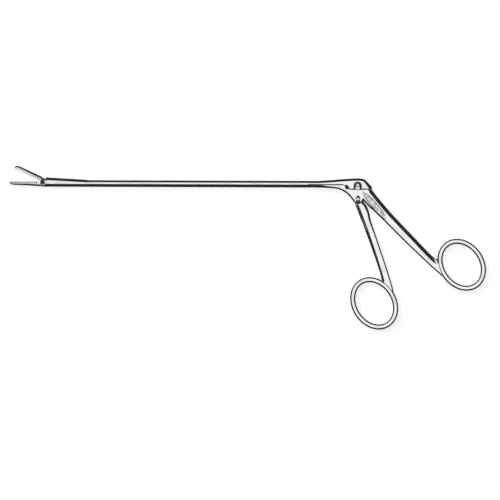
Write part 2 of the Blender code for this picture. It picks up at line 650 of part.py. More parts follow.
def keyhole(name, x, travel, half_width, entry_radius, low_y, high_y):
    """Return an upright cutter for a slot along X that ends in a round entry hole."""
    neck_angle = math.degrees(math.asin(half_width / entry_radius))
    outline = arc((x, 0.0), half_width, 90, 270, 7)
    outline += arc((x + travel, 0.0), entry_radius, neck_angle - 180, 180 - neck_angle, 15)
    cutter = outline_solid(name, outline, high_y - low_y)
    raise_up = Matrix.Translation((0.0, (low_y + high_y) / 2 * MM, 0.0))
    cutter.data.transform(raise_up @ Matrix.Rotation(math.pi / 2, 4, "X"))
    return cutter


def build_guide_stud(number):
    """Headed stud riveted into the lower shaft, which holds the bar down on it."""
    head_top = STUD_NECK_TOP_Y + STUD_HEAD_HEIGHT
    profile = [(0.0, head_top), (STUD_HEAD_RADIUS, head_top), (STUD_HEAD_RADIUS, STUD_NECK_TOP_Y),
               (STUD_RADIUS, STUD_NECK_TOP_Y), (STUD_RADIUS, STUD_SEAT_Y), (0.0, STUD_SEAT_Y)]
    stud = turned_solid(f"guide_stud_{number}", profile)
    stud.rotation_euler = (-math.pi / 2, 0.0, 0.0)
    stud.location = (STUD_XS[number - 1] * MM, 0.0, 0.0)
    return stud


def link_path(steps):
    """Return the link pin's path in the jaw, in the closed jaw's frame, from open to closed."""
    path = []
    for i in range(steps + 1):
        share = i / steps
        pin_place = (LINK_PIN_X - SLIDE_STROKE * share, LINK_PIN_Y)
        path += turned([pin_place], JAW_OPEN_ANGLE * (1 - share))
    return path


def beside(path, distance):
    """Return a path moved sideways, to its left for a positive distance."""
    moved = []
    for i, (x, y) in enumerate(path):
        (from_x, from_y), (to_x, to_y) = path[max(i - 1, 0)], path[min(i + 1, len(path) - 1)]
        share = distance / math.hypot(to_x - from_x, to_y - from_y)
        moved.append((x - (to_y - from_y) * share, y + (to_x - from_x) * share))
    return moved


def tang_outline(path, root_x, top):
    """Return the outline of the upper jaw's tang, with the link pin's path inside it."""
    wall = JAW_PIN_RADIUS + TANG_WALL
    (open_x, open_y), (closed_x, closed_y) = path[0], path[-1]
    outline = [(root_x - TANG_ROOT_DEPTH, TANG_ROOT_LOW_Y),
               (root_x - TANG_ROOT_DEPTH, top - TANG_ROOT_DROP), (TANG_BACK[0], top - TANG_BACK[1])]
    outline += arc((open_x, open_y), wall, 96, 0, 3)
    outline += [(closed_x + wall, closed_y - wall / 2), (closed_x + wall / 3, closed_y - wall)]
    outline += arc((0.0, 0.0), TANG_EYE_RADIUS, 5, -185, 10)
    outline.append((TANG_NECK[0] - TANG_EYE_RADIUS, TANG_NECK[1]))
    return outline


def build_upper_jaw(cutters):
    """Toothed upper jaw with the tang that its pivot and the link pin pass through."""
    teeth = toothed_line(TOOTH_PITCH / 2, FACE_HEIGHT, -1)
    top = FACE_HEIGHT + UPPER_JAW_DEPTH
    root_x = teeth[-1][0] + UPPER_JAW_HEEL
    side = [(-JAW_LENGTH, FACE_HEIGHT + UPPER_JAW_TIP_RISE), (-JAW_LENGTH, FACE_HEIGHT)] + teeth
    side += [(root_x, FACE_HEIGHT), (root_x, top)]
    side += [(distance - JAW_LENGTH, top - drop) for distance, drop in UPPER_JAW_BACK]
    part = outline_solid("upper_jaw", side, 2 * (JAW_HALF_WIDTH + OVERLAP))
    join(part, jaw_plan("upper_jaw_plan", root_x + OVERLAP), cutters, "INTERSECT")
    path = link_path(LINK_STEPS)
    join(part, outline_solid("jaw_tang", tang_outline(path, root_x, top), TANG_THICKNESS), cutters, "UNION")
    radius = JAW_PIN_RADIUS + RUNNING_GAP
    hole = rod("tang_pivot_hole", radius, -FAR, FAR, "Z", (0.0, 0.0, 0.0))
    join(part, hole, cutters, "DIFFERENCE")
    slot = arc(path[0], radius, 0, 180, 8) + beside(path, -radius)[1:-1]
    slot += arc(path[-1], radius, 180, 360, 8) + beside(path, radius)[-2:0:-1]
    join(part, outline_solid("link_slot", slot, 2 * FAR), cutters, "DIFFERENCE")
    return part


def lever_outline():
    """Return the side outline of the lever, from the eye at its top down to the ring and back."""
    ring_end = [ring_point(FRONT_RING_CENTRE, FRONT_RING_TILT, angle) for angle in FRONT_RING_JOIN]
    outline = arc((DRIVE_PIN_X, DRIVE_PIN_Y), LEVER_EYE_RADIUS, 0, 180, 10)
    outline += smooth(LEVER_FRONT_EDGE) + smooth(FRONT_SHANK_FRONT_EDGE) + ring_end[::-1]
    outline += smooth(FRONT_SHANK_REAR_EDGE[::-1]) + smooth(LEVER_REAR_EDGE[::-1])
    return outline


def build_finger_lever(cutters):
    """Front handle: the eye that drives the bar, the pivot eye, the shank and the finger ring."""
    part = outline_solid("finger_lever", lever_outline(), LEVER_SHANK_THICKNESS, EDGE_ROUND)
    thin = (LEVER_THIN_LENGTH, LEVER_TANG_THICKNESS / 2)
    full = (LEVER_THIN_LENGTH + LEVER_RAMP_LENGTH, LEVER_SHANK_THICKNESS / 2)
    heights = [(-FAR, thin[1]), thin, run_out(thin, full)]
    thin_both_sides(part, cutters, "lever_thin", (0.0, 0.0), LEVER_SHANK_ANGLE, heights, RING_LONG_RADIUS)
    ring = finger_ring("finger_ring_band", FRONT_RING_CENTRE, FRONT_RING_TILT)
    join(part, ring, cutters, "UNION")
    pivot = rod("lever_pivot_hole", SCREW_RADIUS + RUNNING_GAP, -FAR, FAR, "Z", (0.0, 0.0, 0.0))
    join(part, pivot, cutters, "DIFFERENCE")
    drive = rod("drive_pin_hole", DRIVE_PIN_RADIUS + PRESS_GAP, -FAR, FAR, "Z",
                (DRIVE_PIN_X, DRIVE_PIN_Y, 0.0))
    join(part, drive, cutters, "DIFFERENCE")
    return part


def empty(name, parent, place=(0.0, 0.0), turn=0.0):
    """Return an empty that holds a joint's place and direction."""
    thing = bpy.data.objects.new(name, None)
    bpy.context.scene.collection.objects.link(thing)
    thing.parent = parent
    thing.location = (place[0] * MM, place[1] * MM, 0.0)
    thing.rotation_euler.z = turn
    return thing


def settle(thing, parts, parent, material, place=(0.0, 0.0)):
    """Hang a finished part on its parent, and give it its place, collection and material."""
    for collection in list(thing.users_collection):
        collection.objects.unlink(thing)
    parts.objects.link(thing)
    thing.parent = parent
    thing.location += Vector((place[0], place[1], 0.0)) * MM
    thing.data.materials.clear()
    thing.data.materials.append(material)
    thing.data.shade_smooth()
    thing.data.set_sharp_from_angle(angle=SHARP_ANGLE)


def centre_on_base(root, parts):
    """Move the root so that the model's origin lies below the middle of its box."""
    bpy.context.view_layer.update()
    graph = bpy.context.evaluated_depsgraph_get()
    corners = []
    for thing in parts.objects:
        seen = thing.evaluated_get(graph)
        corners += [seen.matrix_world @ vertex.co for vertex in seen.data.vertices]
    low = Vector([min(corner[i] for corner in corners) for i in range(3)])
    high = Vector([max(corner[i] for corner in corners) for i in range(3)])
    root.location = -Vector(((low.x + high.x) / 2, (low.y + high.y) / 2, low.z))


def main():
    """Build the forceps at rest, with its jaws open."""
    clear_scene()
    parts = new_collection("foreign_body_forceps")
    cutters = new_collection("cutters")
    bright = steel("polished_steel", *FORGED_STEEL)
    satin = steel("satin_steel", *PIN_STEEL)

    root = empty("forceps_root", None)
    lever_axis = empty("lever_axis", root)
    slide_axis = empty("slide_axis", root, (0.0, SHAFT_CENTRE_Y))
    jaw_pivot = (JAW_PIVOT_X, JAW_PIVOT_Y)
    jaw_axis = empty("jaw_axis", root, jaw_pivot, -JAW_OPEN_ANGLE)
    from_slide_axis = (0.0, -SHAFT_CENTRE_Y)
    link_place = (JAW_PIVOT_X + LINK_PIN_X, JAW_PIVOT_Y + LINK_PIN_Y - SHAFT_CENTRE_Y)

    settle(build_fixed_handle(cutters), parts, root, bright)
    settle(build_slide_bar(cutters), parts, slide_axis, bright, from_slide_axis)
    settle(build_upper_jaw(cutters), parts, jaw_axis, bright)
    settle(build_finger_lever(cutters), parts, lever_axis, bright)
    settle(build_pivot_screw(cutters), parts, root, satin)
    pivot_pin = pin("jaw_pivot_pin", JAW_PIN_RADIUS, JAW_HALF_WIDTH - PIN_RECESS)
    settle(pivot_pin, parts, root, satin, jaw_pivot)
    link_pin = pin("jaw_link_pin", JAW_PIN_RADIUS, SHAFT_RADIUS - PIN_RECESS)
    settle(link_pin, parts, slide_axis, satin, link_place)
    drive_pin = pin("drive_pin", DRIVE_PIN_RADIUS, HALF_BODY - PIN_RECESS, DRIVE_PIN_DOME)
    settle(drive_pin, parts, lever_axis, satin, (DRIVE_PIN_X, DRIVE_PIN_Y))
    for number in range(1, len(STUD_XS) + 1):
        settle(build_guide_stud(number), parts, root, satin)
    centre_on_base(root, parts)


main()
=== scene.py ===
"""Looks of a sliding-shaft foreign body forceps: its fine surfaces, finishes, floor, light and camera.

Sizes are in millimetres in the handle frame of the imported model. Its origin is the pivot of the finger
lever, +X runs from the jaws to the handle, +Y from the finger rings up to the shaft, and +Z out of the
side that the camera sees. Each finished piece is moved into the row frame, in metres, at the end.
"""
import json
import logging
import math
from dataclasses import dataclass
from enum import Enum
from functools import cache
from typing import Any, Iterable, Sequence

import bmesh
import bpy
from mathutils import Matrix, Vector


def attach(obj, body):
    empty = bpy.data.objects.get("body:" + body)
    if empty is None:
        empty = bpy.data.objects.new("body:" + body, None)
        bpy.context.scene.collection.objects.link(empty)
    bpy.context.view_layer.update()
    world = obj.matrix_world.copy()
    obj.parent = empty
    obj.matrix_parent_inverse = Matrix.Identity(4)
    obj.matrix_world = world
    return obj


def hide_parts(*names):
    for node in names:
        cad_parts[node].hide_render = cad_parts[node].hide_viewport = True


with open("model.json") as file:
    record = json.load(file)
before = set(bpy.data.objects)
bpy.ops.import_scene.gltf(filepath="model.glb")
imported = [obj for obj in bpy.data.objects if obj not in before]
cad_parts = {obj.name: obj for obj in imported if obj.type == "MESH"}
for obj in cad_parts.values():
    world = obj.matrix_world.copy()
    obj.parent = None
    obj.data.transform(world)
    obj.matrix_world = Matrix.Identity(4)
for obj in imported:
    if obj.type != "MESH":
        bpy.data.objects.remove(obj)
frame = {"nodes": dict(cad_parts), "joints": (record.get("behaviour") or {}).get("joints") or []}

LOG = logging.getLogger("forceps")
MM = 0.001
TINY = 1e-9
# A cutter reaches FAR to pass everything near it, and OVERLAP to pass just the surface that it cuts.
FAR = 40.0
OVERLAP = 0.5
# The side that the camera sees, and the far side.
SIDES = (1.0, -1.0)

# Places of sockets in their nodes: texture coordinates, light path, colour mix and separate XYZ.
GENERATED_PLACE, OBJECT_PLACE = 0, 3
CAMERA_RAY, GLOSSY_RAY, TRANSMISSION_RAY = 0, 3, 6
FIRST_COLOUR, SECOND_COLOUR = 6, 7
HEIGHT = 2
WHITE = (1.0, 1.0, 1.0, 1.0)

Point = tuple[float, float]
Span = tuple[float, float]
Line = Sequence[Point]
Colour = tuple[float, float, float]

HINGES = {joint["name"]: joint for joint in frame["joints"]}
LEVER_PIVOT = Vector(HINGES["lever_hinge"]["pos_m"])
JAW_PIVOT = (Vector(HINGES["jaw_hinge"]["pos_m"]) - LEVER_PIVOT) / MM
JAW_OPEN_ANGLE = math.radians(HINGES["jaw_hinge"]["range_deg"][1])
LEVER_CLOSING_ANGLE = math.radians(HINGES["lever_hinge"]["range_deg"][1])
STROKE = HINGES["bar_slide"]["range_m"][1] / MM


class Slot(Enum):
    """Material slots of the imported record."""

    FORGED = "polished_steel"
    PIN = "pin_steel"


class Body(Enum):
    """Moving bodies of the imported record."""

    FRAME = "frame"
    SLIDE = "slide"
    LEVER = "lever"
    JAW = "jaw"


class Wire:
    """A number socket whose arithmetic adds Math nodes."""

    def __init__(self, graph: "Graph", socket: bpy.types.NodeSocket) -> None:
        """Hold a socket of a graph."""
        self.graph = graph
        self.socket = socket

    def _math(self, operation: str, first: Any, second: Any) -> "Wire":
        """Return the result of one Math node."""
        return self.graph.node("ShaderNodeMath", {0: first, 1: second}, operation=operation)[0]

    def __add__(self, other: Any) -> "Wire":
        """Return self + other."""
        return self._math("ADD", self, other)

    def __rsub__(self, other: Any) -> "Wire":
        """Return other - self."""
        return self._math("SUBTRACT", other, self)

    def __mul__(self, other: Any) -> "Wire":
        """Return self * other."""
        return self._math("MULTIPLY", self, other)

    def larger(self, other: Any) -> "Wire":
        """Return the larger of self and other."""
        return self._math("MAXIMUM", self, other)

    def eased(self, start: float, end: float) -> "Wire":
        """Return a smooth step from 0 at start to 1 at end."""
        inputs = {"Value": self, "From Min": start, "From Max": end}
        return self.graph.node("ShaderNodeMapRange", inputs, interpolation_type="SMOOTHSTEP")[0]


class Graph:
    """Builds the node tree of one material or world."""

    def __init__(self, tree: bpy.types.NodeTree) -> None:
        """Start an empty tree."""
        self.tree = tree
        tree.nodes.clear()

    def node(self, kind: str, inputs: dict[int | str, Any] | None = None, **settings: Any) -> list[Wire]:
        """Add a node.

        Args:
            kind: Type name of the node.
            inputs: Values or wires of its inputs, by index or name.
            settings: Properties of the node, which are set first.

        Returns:
            One wire for each enabled output.
        """
        node = self.tree.nodes.new(kind)
        for name, value in settings.items():
            setattr(node, name, value)
        for key, value in (inputs or {}).items():
            if isinstance(value, Wire):
                self.tree.links.new(value.socket, node.inputs[key])
            else:
                node.inputs[key].default_value = value
        return [Wire(self, socket) for socket in node.outputs if socket.enabled]

    def blend(self, share: Wire, first: Colour, second: Colour) -> Wire:
        """Return a colour between two colours."""
        inputs = {"Factor": share, FIRST_COLOUR: (*first, 1.0), SECOND_COLOUR: (*second, 1.0)}
        return self.node("ShaderNodeMix", inputs, data_type="RGBA")[0]


@dataclass(frozen=True)
class SteelFinish:
    """Stainless steel with polishing lines, faint clouds and fine pits; the hollow and recess finishes
    darken these colours to paint shade.

    Lengths are in millimetres, and the grain angle is in degrees in the side plane.
    """

    name: str
    bright: Colour = (0.86, 0.87, 0.88)
    dull_and_painted_shade: Colour = (0.70, 0.71, 0.73)
    roughness: float = 0.20
    roughness_swing: float = 0.14
    grain_angle: float = 0.0
    line_spacing: float = 0.22
    line_length: float = 9.0
    cloud_size: float = 7.0
    pit_size: float = 0.35
    line_height: float = 0.55
    pit_height: float = 0.25
    bump_strength: float = 0.16
    bump_distance: float = 0.03
    cloud_edge: Span = (0.35, 0.68)
    cloud_share: float = 0.6
    line_detail: float = 3.0
    speck_detail: float = 2.0
    noise_roughness: float = 0.55

    @cache
    def material(self) -> bpy.types.Material:
        """Build the material at the first call.

        Returns:
            The finished material.
        """
        material = bpy.data.materials.new(self.name)
        material.use_nodes = True
        graph = Graph(material.node_tree)
        place = graph.node("ShaderNodeTexCoord")[OBJECT_PLACE]
        along = graph.node("ShaderNodeMapping", {
            "Vector": place, "Rotation": (0.0, 0.0, math.radians(self.grain_angle)),
            "Scale": (self.line_length * MM, self.line_spacing * MM, self.line_spacing * MM)},
            vector_type="TEXTURE")[0]
        lines = self._noise(along, 1.0, self.line_detail)
        clouds = self._noise(place, 1.0 / (self.cloud_size * MM), self.speck_detail)
        pits = self._noise(place, 1.0 / (self.pit_size * MM), self.speck_detail)
        # Mask of random tone and grain; in the hollow and recess finishes it also places painted shade.
        wear_and_painted_shade = clouds.eased(*self.cloud_edge) * self.cloud_share + lines * (1.0 - self.cloud_share)
        height = lines * self.line_height + pits * self.pit_height
        normal = graph.node("ShaderNodeBump", {
            "Strength": self.bump_strength, "Distance": self.bump_distance * MM, "Height": height})[0]
        shader = graph.node("ShaderNodeBsdfPrincipled", {
            "Base Color": graph.blend(wear_and_painted_shade, self.bright, self.dull_and_painted_shade),
            "Metallic": 1.0,
            "Roughness": wear_and_painted_shade * self.roughness_swing + (self.roughness - self.roughness_swing / 2),
            "Normal": normal})[0]
        graph.node("ShaderNodeOutputMaterial", {"Surface": shader})
        return material

    def _noise(self, place: Wire, scale: float, detail: float) -> Wire:
        """Return the strength of a noise texture."""
        inputs = {"Vector": place, "Scale": scale, "Detail": detail, "Roughness": self.noise_roughness}
        return place.graph.node("ShaderNodeTexNoise", inputs)[0]


POLISHED = SteelFinish("polished_steel_along_shaft")
REAR_POLISHED = SteelFinish("polished_steel_rear_shank", grain_angle=-46.0)
FRONT_POLISHED = SteelFinish("polished_steel_front_shank", grain_angle=-71.0)
TOOTHED = SteelFinish("ground_steel_teeth", grain_angle=90.0, roughness=0.26, line_spacing=0.12)
# Ground steel of the fuller. Its dark dull colour paints the shade of the hollow in streaks over the real
# grinding lines.
GROUND_HOLLOW_PAINTED_SHADE = SteelFinish("ground_steel_hollow_painted_shade", bright=(0.86, 0.87, 0.88), dull_and_painted_shade=(0.20, 0.21, 0.22),
                     grain_angle=-60.0, roughness=0.26, line_spacing=0.55, line_length=2.2, cloud_size=1.3,
                     line_height=0.8, bump_strength=0.6)
TURNED = SteelFinish("turned_steel_pins", bright=(0.74, 0.75, 0.77), dull_and_painted_shade=(0.58, 0.59, 0.61),
                     roughness=0.28, line_length=0.3, line_spacing=0.12, cloud_size=1.5)
# Near-black colour that paints shade on every face left by a cutter with this default finish (slots, bores,
# tooth gaps, seam bevels, arched windows, the screw dish), and on the tongue and the jaw tang.
PAINTED_SHADE_RECESS = SteelFinish("painted_shade_recess", bright=(0.07, 0.07, 0.075), dull_and_painted_shade=(0.03, 0.03, 0.035),
                     roughness=0.48, roughness_swing=0.16, cloud_size=1.2, pit_size=0.2,
                     pit_height=0.8, bump_strength=0.4)


def turned(points: Iterable[Point], angle: float) -> list[Point]:
    """Return points turned about the origin by an angle."""
    c, s = math.cos(angle), math.sin(angle)
    return [(x * c - y * s, x * s + y * c) for x, y in points]


def moved(points: Iterable[Point], x: float, y: float) -> list[Point]:
    """Return points moved by a step."""
    return [(px + x, py + y) for px, py in points]


def arc(centre: Point, radius: float, start: float, end: float, steps: int = 16) -> list[Point]:
    """Return points along an arc, angles in degrees."""
    angles = [math.radians(start + (end - start) * i / steps) for i in range(steps + 1)]
    return [(centre[0] + radius * math.cos(a), centre[1] + radius * math.sin(a)) for a in angles]


def smooth(points: Line, steps: int = 12) -> list[Point]:
    """Return a smooth line through points.

    Args:
        points: Places that the line runs through.
        steps: Pieces between two of them.

    Returns:
        The line's points, ends included.
    """
    known = [Vector(p) for p in points]
    known = [2 * known[0] - known[1], *known, 2 * known[-1] - known[-2]]
    line = []
    for before, first, second, after in zip(known, known[1:], known[2:], known[3:]):
        for i in range(steps):
            t = i / steps
            line.append(0.5 * (2 * first + (second - before) * t
                               + (2 * before - 5 * first + 4 * second - after) * t ** 2
                               + (3 * first - before - 3 * second + after) * t ** 3))
    line.append(known[-2])
    return [(p.x, p.y) for p in line]


def spread(points: Line, count: int) -> list[Point]:
    """Return points at even distances along a line.

    Args:
        points: The line.
        count: Number of points wanted, ends included.

    Returns:
        The points.
    """
    lengths = [0.0]
    for (x0, y0), (x1, y1) in zip(points, points[1:]):
        lengths.append(lengths[-1] + math.hypot(x1 - x0, y1 - y0))
    found, piece = [], 0
    for i in range(count):
        goal = lengths[-1] * i / (count - 1)
        while piece < len(points) - 2 and lengths[piece + 1] < goal:
            piece += 1
        share = (goal - lengths[piece]) / max(lengths[piece + 1] - lengths[piece], TINY)
        (x0, y0), (x1, y1) = points[piece], points[piece + 1]
        found.append((x0 + (x1 - x0) * share, y0 + (y1 - y0) * share))
    return found


def between(span: Span, share: float) -> float:
    """Return a value between the two of a span, easing in and out."""
    eased = share * share * (3 - 2 * share)
    return span[0] + (span[1] - span[0]) * eased


def clamped(share: float) -> float:
    """Return a share kept between 0 and 1."""
    return min(max(share, 0.0), 1.0)


def height_on(line: Line, x: float) -> float:
    """Return the height of a line that runs towards +X, at x.

    Args:
        line: Points of the line.
        x: Place along it.

    Returns:
        The height.
    """
    for (x0, y0), (x1, y1) in zip(line, line[1:]):
        if x <= x1:
            return y0 + (y1 - y0) * max(x - x0, 0.0) / max(x1 - x0, TINY)
    return line[-1][1]


def shown(name: str, data: bpy.types.ID) -> bpy.types.Object:
    """Return a new object of the scene that holds some data.

    Args:
        name: Name of the object.
        data: Its mesh, curve, light or camera.

    Returns:
        The object.
    """
    thing = bpy.data.objects.new(name, data)
    bpy.context.scene.collection.objects.link(thing)
    return thing


class Solid:
    """A closed mesh in handle-frame millimetres, which other solids are added to or cut from."""

    SHARP_ANGLE = math.radians(24)
    WELD_DISTANCE = 0.001
    EDGE_STEPS = 2
    NORMAL_WEIGHT = 80
    LEAST_RADIUS = 0.01

    def __init__(self, name: str, mesh: bpy.types.Mesh, finish: SteelFinish) -> None:
        """Make the object of a mesh and give it its finish."""
        mesh.materials.append(finish.material())
        self.thing = shown(name, mesh)

    @classmethod
    def loft(cls, name: str, finish: SteelFinish, *tubes: Sequence[Sequence[Vector]],
             endless: bool = False) -> "Solid":
        """Make one mesh of one or more tubes through closed loops.

        Args:
            name: Name of the object.
            finish: Look of the surface.
            tubes: Each tube's loops, of equally many points.
            endless: Whether a tube's last loop joins its first, with no caps.

        Returns:
            The solid.
        """
        mesh = bpy.data.meshes.new(name)
        work = bmesh.new()
        for loops in tubes:
            rings = [[work.verts.new(point) for point in loop] for loop in loops]
            pairs = list(zip(rings, rings[1:]))
            if endless:
                pairs.append((rings[-1], rings[0]))
            else:
                work.faces.new(rings[0][::-1])
                work.faces.new(rings[-1])
            for first, second in pairs:
                for corners in zip(first, first[1:] + first[:1], second[1:] + second[:1], second):
                    work.faces.new(corners)
        bmesh.ops.recalc_face_normals(work, faces=work.faces)
        work.to_mesh(mesh)
        work.free()
        return cls(name, mesh, finish)

    @classmethod
    def plate(cls, name: str, outline: Line, low: float = -FAR, high: float = FAR,
              finish: SteelFinish = PAINTED_SHADE_RECESS, edge: float = 0.0) -> "Solid":
        """Make a flat plate with rounded edges.

        Args:
            name: Name of the object.
            outline: Corner points in the side plane.
            low: Lowest z.
            high: Highest z.
            finish: Look of the surface.
            edge: Radius of its edges.

        Returns:
            The solid.
        """
        curve = bpy.data.curves.new(name, "CURVE")
        curve.dimensions = "2D"
        curve.fill_mode = "BOTH"
        curve.extrude = (high - low) / 2 - edge
        curve.bevel_depth = edge
        curve.offset = -edge
        curve.bevel_resolution = cls.EDGE_STEPS
        spline = curve.splines.new("POLY")
        spline.points.add(len(outline) - 1)
        spline.use_cyclic_u = True
        for knot, (x, y) in zip(spline.points, outline):
            knot.co = (x, y, 0.0, 1.0)
        draft = shown(name, curve)
        bpy.context.view_layer.update()
        graph = bpy.context.evaluated_depsgraph_get()
        mesh = bpy.data.meshes.new_from_object(draft.evaluated_get(graph))
        bpy.data.objects.remove(draft)
        work = bmesh.new()
        work.from_mesh(mesh)
        bmesh.ops.remove_doubles(work, verts=work.verts, dist=cls.WELD_DISTANCE)
        bmesh.ops.recalc_face_normals(work, faces=work.faces)
        bmesh.ops.translate(work, verts=work.verts, vec=(0.0, 0.0, (high + low) / 2))
        work.to_mesh(mesh)
        work.free()
        mesh.materials.clear()
        return cls(name, mesh, finish)

    @classmethod
    def turning(cls, name: str, profile: Line, finish: SteelFinish = PAINTED_SHADE_RECESS, steps: int = 64) -> "Solid":
        """Make a solid of revolution about Z from (radius, z) points.

        Args:
            name: Name of the object.
            profile: The (radius, z) points.
            finish: Look of the surface.
            steps: Sides of each circle.

        Returns:
            The solid.
        """
        loops = []
        for radius, z in profile:
            circle = arc((0.0, 0.0), max(radius, cls.LEAST_RADIUS), 0, 360, steps)
            loops.append([Vector((x, y, z)) for x, y in circle[:-1]])
        return cls.loft(name, finish, loops)

    def placed(self, change: Matrix) -> "Solid":
        """Move or turn the mesh itself."""
        self.thing.data.transform(change)
        return self

    def add(self, *others: "Solid") -> "Solid":
        """Join other solids to this one, which uses them up."""
        return self._combined("UNION", others)

    def cut(self, *others: "Solid") -> "Solid":
        """Cut other solids out of this one, which uses them up."""
        return self._combined("DIFFERENCE", others)

    def _combined(self, operation: str, others: Sequence["Solid"]) -> "Solid":
        """Combine this solid with others, one by one; faces that they leave keep their finish.

        Args:
            operation: The modifier's name for the way of combining.
            others: The other solids, which are used up.

        Returns:
            This solid, changed.
        """
        for other in others:
            change = self.thing.modifiers.new("Combine", "BOOLEAN")
            change.operation = operation
            change.solver = "EXACT"
            change.object = other.thing
            change.material_mode = "TRANSFER"
            bpy.context.view_layer.update()
            graph = bpy.context.evaluated_depsgraph_get()
            mesh = bpy.data.meshes.new_from_object(self.thing.evaluated_get(graph))
            self.thing.modifiers.clear()
            self.thing.data = mesh
            bpy.data.objects.remove(other.thing)
        return self

    def finish(self, node: str, body: Body, slot: Slot) -> None:
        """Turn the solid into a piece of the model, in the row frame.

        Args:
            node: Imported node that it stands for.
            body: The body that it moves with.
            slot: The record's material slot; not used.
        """
        thing, mesh = self.thing, self.thing.data
        thing.name = f"{node}_body"
        mesh.transform(Matrix.Translation(LEVER_PIVOT) @ Matrix.Scale(MM, 4))
        mesh.shade_smooth()
        mesh.set_sharp_from_angle(angle=self.SHARP_ANGLE)
        weight = thing.modifiers.new("Flat faces stay flat", "WEIGHTED_NORMAL")
        weight.keep_sharp = True
        weight.weight = self.NORMAL_WEIGHT
        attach(thing, body.value)
        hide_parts(node)
        LOG.info("%s: %d faces, rides on %s", thing.name, len(mesh.polygons), body.value)


@dataclass(frozen=True)
class Bevel:
    """A sloping facet along an edge, with a rounded rim.

    Its width is square to the edge. The rim is a quarter of an ellipse, as wide as edge and as high
    as rise, up to where it meets the facet.
    """

    width: float
    drop: float = 0.0
    edge: float = 0.25
    rise: float = 0.25

    def across(self, stretch: float) -> "Bevel":
        """Return this bevel as a cross section that runs askew meets it."""
        return Bevel(self.width * stretch, self.drop, self.edge * stretch, self.rise)

    def scaled(self, share: float) -> "Bevel":
        """Return this bevel with all its sizes scaled."""
        return Bevel(self.width * share, self.drop * share, self.edge * share, self.rise * share)

    def towards(self, other: "Bevel", share: float) -> "Bevel":
        """Return the bevel at a share of the way to another one."""
        return Bevel(between((self.width, other.width), share), between((self.drop, other.drop), share),
                     between((self.edge, other.edge), share), between((self.rise, other.rise), share))


@dataclass(frozen=True)
class Profile:
    """Sizes of a cross section: half its thickness, its two bevels and the hollow of its flats."""

    half: float
    low_bevel: Bevel
    high_bevel: Bevel
    hollow: float = 0.0

    def towards(self, other: "Profile", share: float) -> "Profile":
        """Return the profile at a share of the way to another one.

        Args:
            other: Profile at the end of the way.
            share: Share of the way, from 0 to 1.

        Returns:
            The profile there.
        """
        low_bevel = self.low_bevel.towards(other.low_bevel, share)
        high_bevel = self.high_bevel.towards(other.high_bevel, share)
        return Profile(between((self.half, other.half), share), low_bevel, high_bevel,
                       between((self.hollow, other.hollow), share))


@dataclass(frozen=True)
class Row:
    """One cross section of a bar that is alike on both sides, between two points in the side plane."""

    low: Point
    high: Point
    sizes: Profile

    ROUND_STEPS = 7
    FLAT_STEPS = 6
    MOST_FILLED = 0.998
    LEAST_RUN = 0.002

    def _shoulder(self, bevel: Bevel, squeeze: float) -> list[Point]:
        """Return (distance, z) points from an edge up to the flat side.

        Args:
            bevel: Bevel of the edge.
            squeeze: Factor that makes both bevels fit in.

        Returns:
            The points, from the edge inwards.
        """
        half = self.sizes.half
        width = bevel.width * squeeze
        slope = bevel.drop / width
        edge = min(bevel.edge * squeeze, width)
        rise = min(bevel.rise, half)
        last = math.atan2(rise, edge * slope)
        wall = half - bevel.drop + edge * (1 - math.cos(last)) * slope - rise * math.sin(last)
        points = []
        for i in range(self.ROUND_STEPS + 1):
            angle = last * i / self.ROUND_STEPS
            points.append((edge * (1 - math.cos(angle)), max(wall, 0.0) + rise * math.sin(angle)))
        points.append((max(width, points[-1][0] + self.LEAST_RUN), half))
        return points

    def loop(self) -> list[Vector]:
        """Return the section as a closed loop of points.

        Returns:
            The points, once round the section.
        """
        start, end, sizes = Vector((*self.low, 0.0)), Vector((*self.high, 0.0)), self.sizes
        width = (end - start).length
        squeeze = min(1.0, self.MOST_FILLED * width / (sizes.low_bevel.width + sizes.high_bevel.width))
        left = self._shoulder(sizes.low_bevel, squeeze)
        right = [(width - d, z) for d, z in self._shoulder(sizes.high_bevel, squeeze)][::-1]
        first, last = left[-1][0], right[0][0]
        shares = [i / self.FLAT_STEPS for i in range(1, self.FLAT_STEPS)]
        middle = [(first + (last - first) * t, sizes.half - sizes.hollow * math.sin(math.pi * t) ** 2)
                  for t in shares]
        near = left + middle + right
        loop = near + [(d, -z) for d, z in near[-2:0:-1]]
        across = (end - start).normalized()
        return [start + across * d + Vector((0.0, 0.0, z)) for d, z in loop]


@dataclass(frozen=True)
class Strip:
    """A stretch of a bar between two long edges, with sizes that ease from its start to its end."""

    low: Line
    high: Line
    rows: int
    start: Profile
    end: Profile

    LEAST_SQUARE = 0.35

    def sections(self) -> list[Row]:
        """Return the cross sections, ends included.

        Returns:
            The sections, from the start to the end.
        """
        lows, highs = spread(self.low, self.rows + 1), spread(self.high, self.rows + 1)
        found = []
        for i, (low, high) in enumerate(zip(lows, highs)):
            run = Vector(high) - Vector(low)
            sizes = self.start.towards(self.end, i / self.rows)
            low_bevel = sizes.low_bevel.across(self._stretch(lows, i, run))
            high_bevel = sizes.high_bevel.across(self._stretch(highs, i, run))
            found.append(Row(low, high, Profile(sizes.half, low_bevel, high_bevel, sizes.hollow)))
        return found

    def _stretch(self, edge: Line, index: int, run: Vector) -> float:
        """Return how much longer a cross section's way over a bevel is than the way square to its edge.

        Args:
            edge: Points of the edge.
            index: Which point the section starts at.
            run: Way across the section.

        Returns:
            The factor, at least 1.
        """
        along = Vector(edge[min(index + 1, len(edge) - 1)]) - Vector(edge[max(index - 1, 0)])
        if along.length < TINY:
            return 1.0
        square = abs(along.normalized().cross(run.normalized()))
        return 1.0 / max(square, self.LEAST_SQUARE)


